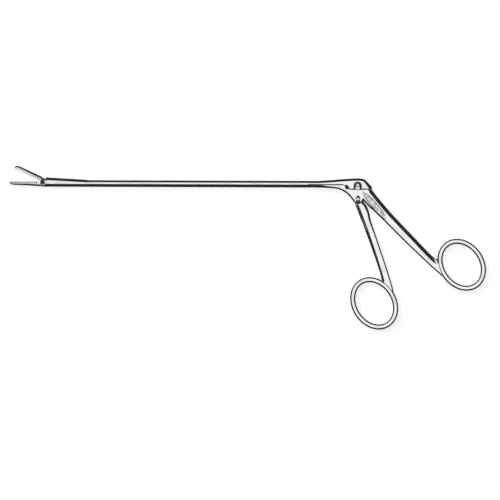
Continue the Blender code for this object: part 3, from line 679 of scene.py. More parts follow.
def bar(name: str, finish: SteelFinish, *strips: Strip) -> Solid:
    """Return the solid that runs through strips laid end to end.

    Args:
        name: Name of the object.
        finish: Look of the surface.
        strips: The strips, each of which starts where the last one ends.

    Returns:
        The solid.
    """
    rows = strips[0].sections()
    for strip in strips[1:]:
        rows += strip.sections()[1:]
    return Solid.loft(name, finish, [row.loop() for row in rows])


def block(name: str, low: Sequence[float], high: Sequence[float], finish: SteelFinish = PAINTED_SHADE_RECESS) -> Solid:
    """Return a box between two corners, for cutting."""
    outline = [(low[0], low[1]), (high[0], low[1]), (high[0], high[1]), (low[0], high[1])]
    return Solid.plate(name, outline, low[2], high[2], finish)


def bore(name: str, at: Point, radius: float, reach: float = FAR, finish: SteelFinish = PAINTED_SHADE_RECESS) -> Solid:
    """Return a round bar along Z, for cutting."""
    tool = Solid.turning(name, [(radius, reach), (radius, -reach)], finish, 48)
    return tool.placed(Matrix.Translation((*at, 0.0)))


@dataclass(frozen=True)
class Shaft:
    """Sizes that the two halves of the shaft share."""

    radius: float = 2.05
    centre_y: float = 8.92
    split_y: float = 8.60
    gap: float = 0.10
    front_setback: float = 2.2
    flare_start_x: float = -30.0
    flare_end_x: float = -13.5
    body_half: float = 2.6
    deck_y: float = 5.95
    step_x: float = -8.5
    step_foot_x: float = -7.4
    head_step_x: float = -6.3
    head_step_foot_x: float = -4.76
    tang_half: float = 0.70
    fork_half: float = 0.80
    fork_depth: float = 5.4
    slot_half: float = 1.10
    pin_radius: float = 0.40
    press_gap: float = 0.05
    running_gap: float = 0.08
    link_pin: Point = (3.20, 2.50)
    drive_pin: Point = (-0.24, 8.34)
    drive_radius: float = 1.20
    seam: Span = (0.78, 0.26)
    seam_steps: int = 24
    seam_overlaps: Span = (0.2, 0.3)
    seam_end_x: float = 12.0
    flare_rows: int = 24
    body_rows: int = 30
    top_shoulder: Bevel = Bevel(1.35, 0.74, 0.12, 0.15)
    low_shoulder: Bevel = Bevel(1.9, 1.06, 0.12, 0.15)
    tongue_half: float = 0.5
    tongue_foot_x: float = -4.2
    tongue_top: Point = (-5.8, 8.5)

    @property
    def sizes(self) -> Profile:
        """Cross section of the round shaft."""
        return Profile(self.radius, self.low_shoulder, self.top_shoulder)

    @property
    def front_x(self) -> float:
        """Place of the round shaft's front end."""
        return JAW_PIVOT.x + self.front_setback

    @property
    def top_y(self) -> float:
        """Height of the round shaft's top."""
        return self.centre_y + self.radius

    @property
    def bottom_y(self) -> float:
        """Height of the round shaft's underside."""
        return self.centre_y - self.radius

    def seams(self) -> list[Solid]:
        """Return cutters for the small bevels where the head and the body meet, whose faces take near-black
        painted shade along the seam.

        Returns:
            Two cutters for each side.
        """
        width, depth = self.seam
        low, high = self.deck_y + self.gap / 2, self.split_y + self.gap / 2
        foot_overlap, step_overlap = self.seam_overlaps
        tools = []
        for side in SIDES:
            for start, end, y in ((self.head_step_foot_x - foot_overlap, self.seam_end_x, low),
                                  (self.flare_start_x, self.step_x - step_overlap, high)):
                loops = []
                for i in range(self.seam_steps + 1):
                    x = start + (end - start) * i / self.seam_steps
                    z = side * self.half_at(x)
                    loops.append([Vector((x, y + width / 2, z)), Vector((x, y, z + depth)),
                                  Vector((x, y - width / 2, z)), Vector((x, y, z - depth))])
                tools.append(Solid.loft("seam", PAINTED_SHADE_RECESS, loops))
        return tools

    def half_at(self, x: float) -> float:
        """Return the half thickness of the flared shaft and body at x."""
        share = (x - self.flare_start_x) / (self.flare_end_x - self.flare_start_x)
        return between((self.radius, self.body_half), clamped(share))


SHAFT = Shaft()
CRISP = Bevel(0.12, edge=0.12, rise=0.12)


@dataclass(frozen=True)
class FingerRing:
    """Oval ring whose section is faceted.

    The slopes are the facets of a quarter of the section, as (degrees, length) from its edge inwards.
    """

    centre: Point
    tilt: float
    long_radius: float = 15.05
    short_radius: float = 11.85
    band: float = 3.36
    thickness: float = 4.96
    slopes: Line = ((80, 0.08), (68, 0.08), (56, 0.08), (44, 0.10), (33, 0.42), (28, 0.48), (19, 0.14),
                    (9, 0.14))
    steps: int = 120
    join_reach: float = 1.04

    def place(self, degrees: float, reach: float = 1.0) -> Point:
        """Return a point at a ring angle, reach times as far out as the centre line.

        Args:
            degrees: Ring angle, from the long axis.
            reach: Distance as a share of the centre line's.

        Returns:
            The point.
        """
        turn = math.radians(degrees)
        local = (reach * self.long_radius * math.cos(turn), reach * self.short_radius * math.sin(turn))
        return moved(turned([local], math.radians(self.tilt)), *self.centre)[0]

    def join(self, degrees: float) -> Point:
        """Return the point inside the band where a shank's edge ends."""
        return self.place(degrees, self.join_reach)

    def _section(self) -> list[Point]:
        """Return the ring's cross section as (distance outwards, z) points.

        Returns:
            The points, once round the section.
        """
        corner = [(0.0, 0.0)]
        for angle, length in self.slopes:
            turn = math.radians(angle)
            corner.append((corner[-1][0] + length * math.cos(turn), corner[-1][1] + length * math.sin(turn)))
        drop = corner[-1][1]
        left = [(d - self.band / 2, self.thickness / 2 - drop + z) for d, z in corner]
        top = left + [(-d, z) for d, z in left[::-1]]
        return top + [(d, -z) for d, z in top[::-1]]

    def solid(self, name: str, finish: SteelFinish) -> Solid:
        """Return the ring.

        Args:
            name: Name of the object.
            finish: Look of the surface.

        Returns:
            The solid.
        """
        section = self._section()
        loops = []
        for i in range(self.steps):
            angle = 360 * i / self.steps
            here, ahead = Vector(self.place(angle)), Vector(self.place(angle + 1))
            run = (ahead - here).normalized()
            out = Vector((run.y, -run.x, 0.0))
            loops.append([here.to_3d() + out * d + Vector((0.0, 0.0, z)) for d, z in section])
        return Solid.loft(name, finish, loops, endless=True)


@dataclass(frozen=True)
class Jaw:
    """Sizes that both jaws share, in the closed jaws' frame with the jaw pivot as its origin."""

    length: float = 19.1
    half_width: float = 1.88
    tip_half_width: float = 1.34
    taper_length: float = 13.1
    face_y: float = 2.32
    tooth_pitch: float = 1.25
    tooth_depth: float = 0.45
    tooth_count: int = 13
    tooth_gap: float = 0.12
    tooth_front: float = 0.9
    crest: float = 0.10
    notch_half: float = 0.58
    notch_out: float = 0.30
    notch_in: float = 0.55
    notch_depths: Span = (1.3, 0.05)
    chamfer: Span = (0.30, 0.45)
    chamfer_reach: Span = (0.01, 0.5)
    chamfer_places: Sequence[float] = (0.3, 0.6, 1.0)
    chamfer_end: float = 0.1
    tip_steps: int = 10
    tip_end: float = 0.02
    face_bevel: Bevel = Bevel(0.2, 0.1, 0.05, 0.05)

    def half_at(self, x: float) -> float:
        """Return the half width of a jaw seen from above, at x.

        Args:
            x: Place along the jaw.

        Returns:
            The half width.
        """
        from_tip = max(x + self.length, self.tip_end)
        if from_tip < self.tip_half_width:
            away = self.tip_half_width - from_tip
            return math.sqrt(self.tip_half_width ** 2 - away ** 2)
        share = min((from_tip - self.tip_half_width) / (self.taper_length - self.tip_half_width), 1.0)
        return self.tip_half_width + (self.half_width - self.tip_half_width) * share

    def ridges(self, offset: float, height: float, direction: float) -> list[Point]:
        """Return the line of a jaw's teeth.

        Args:
            offset: Distance of the first tooth behind its usual place.
            height: Height of the crests.
            direction: 1 for teeth that point up and -1 for teeth that point down.

        Returns:
            The line's points, from the tip to the root.
        """
        first = -self.length + self.tooth_front + offset
        line = []
        for i in range(self.tooth_count):
            x = first + i * self.tooth_pitch
            line += [(x - self.crest / 2, height), (x + self.crest / 2, height),
                     (x + self.tooth_pitch / 2, height - direction * self.tooth_depth)]
        end = first + self.tooth_count * self.tooth_pitch
        line.append((end - self.crest / 2, height))
        return line

    def toothed(self, name: str, ridges: Line, line: Line, back: Line,
                back_bevel: Bevel, notch_depth: float) -> Solid:
        """Build a jaw with its teeth.

        Args:
            name: Name of the object.
            ridges: The line of its teeth, from ridges().
            line: The edge that the teeth are in.
            back: The other edge.
            back_bevel: Bevel of the other edge; both shrink with the jaw at its tip.
            notch_depth: How far the tooth gaps run down the jaw's sides; below 0 for up.

        Returns:
            The jaw.
        """
        direction = math.copysign(1.0, notch_depth)
        loops = []
        for x in self._stations(line):
            half = self.half_at(x)
            share = half / self.half_width
            edges = [(height_on(back, x), back_bevel.scaled(share)),
                     (height_on(line, x), self.face_bevel.scaled(share))]
            (low, low_bevel), (high, high_bevel) = edges[::int(direction)]
            loops.append(Row((x, low), (x, high), Profile(half, low_bevel, high_bevel)).loop())
        jaw = Solid.loft(name, TOOTHED, loops)
        return jaw.cut(self._notches(ridges, notch_depth), self._chamfers(ridges, direction))

    def _notches(self, ridges: Line, depth: float) -> Solid:
        """Return the cutter that opens the gaps between the teeth towards both sides of a jaw; the gaps'
        faces take near-black painted shade.

        Args:
            ridges: The line of the teeth.
            depth: How far the notches run down the jaw's sides; below 0 for up.

        Returns:
            The cutter.
        """
        tubes = []
        for x, y in ridges[2::3]:
            crest_y = y + math.copysign(self.tooth_depth + self.notch_out, depth)
            for side in SIDES:
                loops = []
                for reach, share in zip((self.notch_out, -self.notch_in), self.notch_depths):
                    z = side * (self.half_at(x) + reach)
                    loops.append([Vector((x - self.notch_half, crest_y, z)),
                                  Vector((x, y - depth * share, z)),
                                  Vector((x + self.notch_half, crest_y, z))])
                tubes.append(loops)
        return Solid.loft("notches", PAINTED_SHADE_RECESS, *tubes)

    def _chamfers(self, ridges: Line, direction: float) -> Solid:
        """Return the cutter that slopes the sides of the teeth, which point up for direction 1; the slopes
        take near-black painted shade.

        Args:
            ridges: The line of the teeth.
            direction: 1 for teeth that point up, else -1.

        Returns:
            The cutter.
        """
        beyond, inward = self.chamfer
        low_reach, high_reach = self.chamfer_reach
        low_y = ridges[2][1]
        high_y = low_y + direction * (self.tooth_depth + beyond)
        places = [self.tip_half_width * share - self.length for share in self.chamfer_places]
        places += [self.taper_length - self.length, ridges[-1][0] + self.chamfer_end]
        tubes = []
        for side in SIDES:
            loops = []
            for x in places:
                half = self.half_at(x)
                loops.append([Vector((x, low_y, side * (half + low_reach))),
                              Vector((x, high_y, side * (half + high_reach))),
                              Vector((x, high_y, side * (half - inward)))])
            tubes.append(loops)
        return Solid.loft("tooth_chamfers", PAINTED_SHADE_RECESS, *tubes)

    def _stations(self, line: Line) -> list[float]:
        """Return the places of a jaw's cross sections, close together at the round tip.

        Args:
            line: The edge that the teeth are in.

        Returns:
            The places, in order.
        """
        turns = [math.pi / 2 * i / self.tip_steps for i in range(self.tip_steps + 1)]
        tip = [self.tip_half_width * (1 - math.cos(turn)) - self.length for turn in turns]
        return sorted({round(x, 4) for x in tip + [x for x, _ in line]})


JAW = Jaw()


@dataclass
class FixedHandle:
    """Lower jaw, lower half of the shaft, body, rear shank and thumb ring: one forging."""

    ring: FingerRing = FingerRing((62.3, -39.1), -54.4)
    ring_join: Span = (-131.0, -77.0)
    upper_edge: Line = ((6.9, 8.6), (8.4, 6.1), (9.6, 4.1), (19.0, -7.1), (31.4, -20.2), (44.0, -33.2))
    lower_edge: Line = ((-0.6, 3.3), (3.3, -0.95), (7.1, -5.0), (14.7, -12.1), (27.4, -24.75),
                        (40.4, -37.1), (49.4, -45.1))
    throat: Line = ((-24.0, 6.87), (-14.0, 6.35), (-9.6, 5.05), (-6.0, 2.6), (-3.6, -0.3), (-2.26, -1.9))
    inner_top: tuple[Point, Point] = ((-2.0, 10.0), (5.0, 7.5))
    shaft_rows: int = 16
    shank_rows: int = 100
    boss_radius: float = 2.95
    boss_arc: Span = (-140.0, -6.0)
    shank_half: float = 2.2
    shank_sink: float = 0.01
    band: Bevel = Bevel(2.3, 1.2, 0.15, 0.2)
    thin_edge: Bevel = Bevel(0.9, 0.48, 0.1, 0.12)
    body_edge: Bevel = Bevel(1.0, 0.54, 0.1, 0.12)
    back_bevel: Bevel = Bevel(1.15, 0.68, 0.12, 0.15)
    jaw_step: float = 0.1
    jaw_overlap: float = 0.4
    tang_room: Span = (-1.25, 4.9)
    slot_margin: float = 0.3
    notch_depth: float = 1.5
    hollow: float = 0.15
    fuller_ends: tuple[Point, Point] = ((2.9, 4.3), (16.9, -11.8))
    fuller_size: Span = (1.9, 0.5)
    fuller_sink: float = 0.06
    screw_seat: Line = ((1.35, 2.9), (1.35, 1.68), (1.0, 1.68), (1.0, -4.0))
    screw_dish: Line = ((2.35, 2.85), (2.20, 2.55), (2.05, 1.95), (0.02, 1.95))
    dish_squeeze: float = 0.62
    underside: Line = ((-19.1, 1.5), (-18.6, 0.9), (-17.5, 0.3), (-15.0, -0.05), (-7.5, -0.33),
                       (-1.0, -0.81), (2.6, -0.91))

    def _lower_jaw(self) -> Solid:
        """Return the toothed lower jaw with its hinge cheeks.

        Returns:
            The jaw, in its place.
        """
        face = JAW.face_y - JAW.tooth_gap
        ridges = JAW.ridges(0.0, face, 1.0)
        split = SHAFT.split_y - JAW_PIVOT.y
        line = [(-JAW.length, face), *ridges, (ridges[-1][0] + self.jaw_step, split),
                (SHAFT.front_setback + self.jaw_overlap, split)]
        jaw = JAW.toothed("lower_jaw", ridges, line, smooth(self.underside), self.back_bevel,
                          self.notch_depth)
        return jaw.placed(Matrix.Translation(JAW_PIVOT))

    def _forging(self) -> Solid:
        """Return the shaft, body and shank before anything is cut from them.

        Returns:
            The solid.
        """
        low_start, top_start = (SHAFT.flare_start_x, SHAFT.bottom_y), (SHAFT.flare_start_x, SHAFT.top_y)
        top_end = (SHAFT.flare_end_x, SHAFT.top_y)
        throat = smooth([low_start, *self.throat])
        flare = [p for p in throat if p[0] <= SHAFT.flare_end_x]
        rest = [p for p in throat if p[0] >= SHAFT.flare_end_x - OVERLAP]
        boss = arc((0.0, 0.0), self.boss_radius, *self.boss_arc)
        body = Profile(SHAFT.body_half, self.body_edge, CRISP)
        forging = bar(
            "fixed_handle_forging", REAR_POLISHED,
            Strip([(SHAFT.front_x, SHAFT.bottom_y), low_start], [(SHAFT.front_x, SHAFT.top_y), top_start],
                  self.shaft_rows, SHAFT.sizes, SHAFT.sizes),
            Strip(flare, [top_start, top_end], SHAFT.flare_rows, SHAFT.sizes, body),
            Strip(rest, [top_end, self.inner_top[0]], SHAFT.body_rows, body, body),
            Strip(boss, self.inner_top, SHAFT.body_rows, body, body))
        shank = Strip(smooth([*self.lower_edge, self.ring.join(self.ring_join[1])]),
                      smooth([*self.upper_edge, self.ring.join(self.ring_join[0])]), self.shank_rows,
                      Profile(SHAFT.body_half - self.shank_sink, self.body_edge, self.band, self.hollow),
                      Profile(self.shank_half, self.thin_edge, self.band))
        return forging.add(bar("rear_shank", REAR_POLISHED, shank))

    def _fuller(self, side: float) -> Solid:
        """Return the cutter of the long shallow hollow that runs from the body down the rear shank; its
        faces take ground steel with painted shade streaks.

        Args:
            side: 1 for the side that the camera sees, and -1 for the far side.

        Returns:
            The cutter.
        """
        start, end = (Vector(place) for place in self.fuller_ends)
        width, depth = self.fuller_size
        middle, run = (start + end) / 2, end - start
        tool = Solid.turning("fuller", arc((0.0, 0.0), 1.0, -90, 90, 24), GROUND_HOLLOW_PAINTED_SHADE)
        place = Matrix.Translation((middle.x, middle.y, side * (SHAFT.body_half - self.fuller_sink)))
        turn = Matrix.Rotation(math.atan2(run.y, run.x), 4, "Z")
        return tool.placed(place @ turn @ Matrix.Diagonal((run.length / 2, width, depth, 1.0)))

    def _deck(self) -> Solid:
        """Return the cutter that leaves the flat deck the bar slides on.

        Returns:
            The cutter.
        """
        deck_x = JAW_PIVOT.x + JAW.ridges(0.0, 0.0, 1.0)[-1][0]
        outline = [(deck_x, FAR), (deck_x, SHAFT.split_y), (SHAFT.step_x, SHAFT.split_y),
                   (SHAFT.step_foot_x, SHAFT.deck_y), (FAR, SHAFT.deck_y), (FAR, FAR)]
        return Solid.plate("deck", outline, finish=POLISHED)

    def _tongue(self) -> Solid:
        """Return the web on the deck that the bar's head slides over; its faces keep the near-black painted
        shade, which darkens the notch in front of it.

        Returns:
            The web.
        """
        front_x, foot_y = SHAFT.step_x - OVERLAP, SHAFT.deck_y - OVERLAP
        top_x, top_y = SHAFT.tongue_top
        outline = [(front_x, foot_y), (SHAFT.tongue_foot_x, foot_y), (top_x, top_y), (front_x, top_y)]
        return Solid.plate("tongue", outline, -SHAFT.tongue_half, SHAFT.tongue_half)

    def _lever_slot(self, lever: "FingerLever") -> Solid:
        """Return the cutter for the slot that the lever's upper end swings in.

        Args:
            lever: The finger lever.

        Returns:
            The cutter.
        """
        margin, front, rear = self.slot_margin, lever.front_edge, lever.rear_edge
        closed_x = turned(front[:1], LEVER_CLOSING_ANGLE)[0][0] - margin
        left = [(closed_x, FAR), (closed_x, front[0][1]), (front[1][0] - margin, front[1][1]),
                (front[1][0] - margin, -FAR)]
        right = [(rear[0][0] + 2 * margin, FAR), (rear[0][0] + 2 * margin, rear[0][1]),
                 (rear[1][0] + margin, rear[1][1])]
        right += moved(turned(rear[2:6], LEVER_CLOSING_ANGLE), margin, 0.0)
        right.append((right[-1][0] + margin, -FAR))
        return Solid.plate("lever_slot", left + right[::-1], -SHAFT.slot_half, SHAFT.slot_half)

    def build(self, lever: "FingerLever") -> None:
        """Build the handle.

        Args:
            lever: The finger lever, whose edges give the slot its outline.
        """
        part = self._forging()
        part.add(self.ring.solid("thumb_ring", REAR_POLISHED), self._lower_jaw())
        part.cut(self._deck())
        part.add(self._tongue())
        front_x, rear_x = self.tang_room
        tang_slot = block("tang_slot", (JAW_PIVOT.x + front_x, 0.0, -SHAFT.fork_half),
                          (JAW_PIVOT.x + rear_x, SHAFT.split_y + OVERLAP, SHAFT.fork_half))
        pin_hole = bore("pivot_pin_hole", (JAW_PIVOT.x, JAW_PIVOT.y), SHAFT.pin_radius + SHAFT.press_gap)
        # The dish round the screw head, the seat, the slots and the pin hole all take near-black painted
        # shade.
        dish = Solid.turning("screw_dish", self.screw_dish)
        dish.placed(Matrix.Diagonal((self.dish_squeeze, 1.0, 1.0, 1.0)))
        seat = Solid.turning("screw_seat", self.screw_seat)
        fullers = [self._fuller(side) for side in SIDES]
        part.cut(tang_slot, pin_hole, self._lever_slot(lever), dish, seat, *fullers, *SHAFT.seams())
        part.finish("fixed_handle", Body.FRAME, Slot.FORGED)


@dataclass
class FingerLever:
    """Front handle: the eye that drives the bar, the pivot eye, the shank and the finger ring."""

    ring: FingerRing = FingerRing((9.9, -62.4), -57.1)
    ring_join: Span = (121.0, 73.0)
    front_edge: Line = ((-2.25, 6.0), (-2.45, 0.0), (-1.75, -2.7), (-1.1, -4.8), (3.2, -15.7),
                        (7.35, -26.9), (11.3, -38.2), (13.9, -46.5))
    rear_edge: Line = ((1.95, 6.0), (2.45, 0.9), (3.75, -1.9), (5.0, -3.6), (5.9, -5.3), (7.05, -8.5),
                       (8.2, -13.7), (14.0, -30.8), (17.8, -42.2), (21.0, -52.8))
    eye_radius: float = 2.2
    eye_half: float = 1.0
    shank_half: float = 2.2
    shank_direction: float = -69.0
    thin_length: float = 12.0
    ramp_length: float = 9.0
    left_band: tuple[Bevel, Bevel] = (Bevel(2.1, 0.93, 0.1, 0.1), Bevel(1.35, 0.76))
    left_band_drop: float = 1.15
    right_band: tuple[Bevel, Bevel] = (Bevel(1.65, 0.86, 0.1, 0.1), Bevel(0.9, 0.48))
    right_band_end: Span = (0.10, 0.48)
    bore_radius: float = 1.03
    rows: int = 140
    least_wall: float = 0.07

    def _half_at(self, low: Point, high: Point) -> float:
        """Return the half thickness of the lever at a cross section.

        Args:
            low: The section's point on the front edge.
            high: Its point on the rear edge.

        Returns:
            The half thickness.
        """
        direction = math.radians(self.shank_direction)
        middle = ((low[0] + high[0]) / 2, (low[1] + high[1]) / 2)
        distance = middle[0] * math.cos(direction) + middle[1] * math.sin(direction)
        share = clamped((distance - self.thin_length) / self.ramp_length)
        return self.eye_half + (self.shank_half - self.eye_half) * share

    def _left(self, band: Bevel, half: float) -> Bevel:
        """Return the left band as deep as the lever's thickness allows, near the pivot.

        Args:
            band: The band as it tapers along the shank.
            half: The lever's half thickness there.

        Returns:
            The band.
        """
        start, end = self.left_band
        near = (band.width - end.width) / (start.width - end.width)
        deep = min((1.0 - self.least_wall) * half, self.left_band_drop)
        drop = band.drop + max(deep - band.drop, 0.0) * clamped(near)
        return Bevel(band.width, drop, band.edge, band.rise)

    def build(self) -> None:
        """Build the lever."""
        low = smooth([*self.front_edge, self.ring.join(self.ring_join[0])])
        high = smooth([*self.rear_edge, self.ring.join(self.ring_join[1])])
        sizes = [Profile(self.eye_half, *bands) for bands in zip(self.left_band, self.right_band)]
        start, end = self.right_band
        first, last = self.right_band_end
        loops = []
        for i, row in enumerate(Strip(low, high, self.rows, *sizes).sections()):
            share = i / self.rows
            fade = clamped((share - first) / (last - first))
            stretch = row.sizes.high_bevel.width / start.towards(end, share).width
            half = self._half_at(row.low, row.high)
            left, right = self._left(row.sizes.low_bevel, half), start.towards(end, fade).across(stretch)
            loops.append(Row(row.low, row.high, Profile(half, left, right)).loop())
        part = Solid.loft("finger_lever_body", FRONT_POLISHED, loops)
        part.add(self.ring.solid("finger_ring", FRONT_POLISHED),
                 bore("drive_eye", SHAFT.drive_pin, self.eye_radius, self.eye_half, FRONT_POLISHED))
        # The bores take near-black painted shade.
        part.cut(bore("lever_bore", (0.0, 0.0), self.bore_radius),
                 bore("drive_bore", SHAFT.drive_pin, SHAFT.drive_radius + SHAFT.press_gap))
        part.finish("finger_lever", Body.LEVER, Slot.FORGED)


@dataclass
class SlideBar:
    """Upper half of the shaft, with the forked nose at its front and the driven head at its rear."""

    nose_half: float = 2.10
    nose_rear_x: float = -162.2
    nose_top: Line = ((-190.0, 12.75), (-186.3, 12.55), (-162.6, 11.25), (-162.2, 11.1))
    nose_front: Line = ((-187.1, 8.0), (-187.55, 9.2), (-187.95, 10.6), (-187.75, 11.5), (-187.1, 12.3),
                        (-186.3, 12.75))
    head_top: Line = ((-30.0, 10.97), (-24.0, 10.97), (-16.8, 11.45), (-8.4, 12.15), (0.0, 12.58),
                      (3.6, 12.0), (6.0, 9.95), (8.35, 7.3), (8.25, 5.3))
    crown_end: Point = (3.0, 11.0)
    head_low: tuple[Point, Point] = ((1.0, 5.3), (4.4, 5.3))
    shaft_rows: int = 12
    nose_rows: int = 40
    nose_low_y: float = 7.0
    nose_overlap: float = 6.0
    top_edge: Bevel = Bevel(1.5, 0.82, 0.12, 0.15)
    rear_band: Bevel = Bevel(2.3, 1.2, 0.15, 0.2)
    nose_edge: Bevel = Bevel(1.75, 0.96, 0.12, 0.15)
    arch_width: float = 4.9
    arch_top_y: float = 10.6
    arch_depth: float = 0.75
    eye_room: Line = ((-2.74, 0.0), (2.96, 10.84))

    def _forging(self) -> Solid:
        """Return the bar before anything is cut from it.

        Returns:
            The solid.
        """
        top = smooth(self.head_top)
        flat = [p for p in top if p[0] <= SHAFT.flare_end_x]
        crown = [p for p in top[len(flat) - 1:] if p[0] <= self.crown_end[0] and p[1] > self.crown_end[1]]
        rear = top[len(flat) + len(crown) - 2:]
        front_x = self.nose_rear_x - self.nose_overlap
        low_middle, low_rear = self.head_low
        low_start, low_end = (SHAFT.flare_start_x, SHAFT.bottom_y), (SHAFT.flare_end_x, low_middle[1])
        head = Profile(SHAFT.body_half, CRISP, self.top_edge)
        part = bar(
            "slide_bar_forging", POLISHED,
            Strip([(front_x, SHAFT.bottom_y), low_start],
                  [(front_x, SHAFT.top_y), (SHAFT.flare_start_x, SHAFT.top_y)], self.shaft_rows,
                  SHAFT.sizes, SHAFT.sizes),
            Strip([low_start, low_end], flat, SHAFT.flare_rows, SHAFT.sizes, head),
            Strip([low_end, low_middle], crown, SHAFT.body_rows, head, head),
            Strip([low_middle, low_rear], rear, SHAFT.body_rows, head,
                  Profile(SHAFT.body_half, CRISP, self.rear_band)))
        sizes = Profile(self.nose_half, CRISP, self.nose_edge)
        nose = Strip([(self.nose_top[0][0], self.nose_low_y), (self.nose_rear_x, self.nose_low_y)],
                     self.nose_top, self.nose_rows, sizes, sizes)
        return part.add(bar("bar_nose", POLISHED, nose))

    def _arch(self, side: float) -> Solid:
        """Return the cutter of the arched window on one side; the window's faces take near-black painted
        shade.

        Args:
            side: 1 for the side that the camera sees, and -1 for the far side.

        Returns:
            The cutter.
        """
        half = self.arch_width / 2
        x = SHAFT.drive_pin[0]
        crown = arc((x, self.arch_top_y - half), half, 0, 180, 24)
        outline = [(x + half, 0.0), *crown, (x - half, 0.0)]
        low, high = sorted((side * (SHAFT.body_half - self.arch_depth), side * (SHAFT.body_half + OVERLAP)))
        return Solid.plate("arch", outline, low, high)

    def build(self) -> None:
        """Build the bar."""
        part = self._forging()
        bottom, seat = SHAFT.split_y + SHAFT.gap, SHAFT.deck_y + SHAFT.gap
        ahead = JAW_PIVOT.x - FAR
        under = [(ahead, bottom), (SHAFT.head_step_x, bottom), (SHAFT.head_step_foot_x, seat), (FAR, seat),
                 (FAR, -FAR), (ahead, -FAR)]
        front = [(ahead, 0.0), (self.nose_front[0][0], 0.0), *smooth(self.nose_front),
                 (self.nose_front[-1][0], FAR), (ahead, FAR)]
        part.cut(Solid.plate("underside", under, finish=POLISHED),
                 Solid.plate("front_end", front, finish=POLISHED))
        fork = block("fork_slot", (ahead, 0.0, -SHAFT.fork_half),
                     (JAW_PIVOT.x + SHAFT.fork_depth, FAR, SHAFT.fork_half))
        link = (JAW_PIVOT.x + SHAFT.link_pin[0], JAW_PIVOT.y + SHAFT.link_pin[1])
        link_hole = bore("link_hole", link, SHAFT.pin_radius + SHAFT.press_gap)
        (x0, y0), (x1, y1) = self.eye_room
        room = block("eye_room", (x0, y0, -SHAFT.slot_half), (x1, y1, SHAFT.slot_half))
        side_room = SHAFT.tongue_half + SHAFT.gap
        tongue_slot = block("tongue_slot", (SHAFT.head_step_x - OVERLAP, y0, -side_room),
                            (x0 + OVERLAP, SHAFT.tongue_top[1] + SHAFT.gap, side_room))
        radius = SHAFT.drive_radius + SHAFT.running_gap
        x, y = SHAFT.drive_pin
        notch = [(x + radius, 0.0), *arc((x, y), radius, 0, 180, 32), (x - radius, 0.0)]
        drive_notch = Solid.plate("drive_notch", notch)
        arches = [self._arch(side) for side in SIDES]
        # The fork, holes, rooms, slots, notch and arches take near-black painted shade.
        part.cut(fork, link_hole, room, tongue_slot, drive_notch, *arches, *SHAFT.seams())
        part.finish("slide_bar", Body.SLIDE, Slot.FORGED)


@dataclass
class UpperJaw:
    """Toothed jaw that swings, with the tang that its pivot and the link pin pass through."""

    depth: float = 2.50
    back_bevel: Bevel = Bevel(1.4, 0.82, 0.12, 0.15)
    notch_depth: float = -0.35
    back: Line = ((-19.1, 3.2), (-18.7, 3.6), (-17.6, 4.15), (-15.5, 4.45), (-6.0, 4.74), (-1.0, 4.8))
    heel: float = 0.3
    tang_wall: float = 0.9
    tang_edge: float = 0.12
    tang_root: Point = (-1.0, 3.0)
    tang_drops: Span = (0.5, 0.35)
    tang_bend_x: float = 0.2
    tang_throat: Point = (-0.95, 1.3)
    link_arc: Span = (96.0, 0.0)
    eye_arc: Span = (5.0, -185.0)
    eye_radius: float = 0.8
    path_steps: int = 12

    def _link_path(self) -> list[Point]:
        """Return the link pin's path in the jaw, in the closed jaw's frame, from open to closed.

        Returns:
            The points of the path.
        """
        path = []
        for i in range(self.path_steps + 1):
            share = i / self.path_steps
            place = (SHAFT.link_pin[0] - STROKE * share, SHAFT.link_pin[1])
            path += turned([place], JAW_OPEN_ANGLE * (1 - share))
        return path

    def _tang(self, root_x: float, path: Line) -> Solid:
        """Return the flat tang with rounded edges, in the near-black painted shade of the bar's fork.

        Args:
            root_x: Where the toothed part ends.
            path: The link pin's path.

        Returns:
            The tang.
        """
        wall = self.tang_wall
        x, y = path[-1]
        run, low_y = self.tang_root
        root_top, bend_top = (JAW.face_y + self.depth - drop for drop in self.tang_drops)
        outline = [(root_x + run, low_y), (root_x + run, root_top), (self.tang_bend_x, bend_top),
                   *arc(path[0], wall, *self.link_arc, 8), (x + wall, y - wall / 2),
                   (x + wall / 3, y - wall), *arc((0.0, 0.0), self.eye_radius, *self.eye_arc),
                   self.tang_throat]
        return Solid.plate("jaw_tang", outline, -SHAFT.tang_half, SHAFT.tang_half,
                           edge=self.tang_edge)

    def build(self) -> None:
        """Build the jaw, open."""
        ridges = JAW.ridges(JAW.tooth_pitch / 2, JAW.face_y, -1.0)
        root_x = ridges[-1][0] + self.heel
        line = [(-JAW.length, JAW.face_y), *ridges, (root_x, JAW.face_y)]
        part = JAW.toothed("upper_jaw_body", ridges, line, smooth(self.back), self.back_bevel,
                           self.notch_depth)
        path = self._link_path()
        part.add(self._tang(root_x, path))
        radius = SHAFT.pin_radius + SHAFT.running_gap
        slot = arc(path[0], radius, 0, 180, 12) + [(x - radius, y) for x, y in path[1:-1]]
        slot += arc(path[-1], radius, 180, 360, 12) + [(x + radius, y) for x, y in path[-2:0:-1]]
        # The hole and the slot take near-black painted shade.
        part.cut(bore("tang_hole", (0.0, 0.0), radius), Solid.plate("link_slot", slot))
        part.placed(Matrix.Translation(JAW_PIVOT) @ Matrix.Rotation(-JAW_OPEN_ANGLE, 4, "Z"))
        part.finish("upper_jaw", Body.JAW, Slot.FORGED)


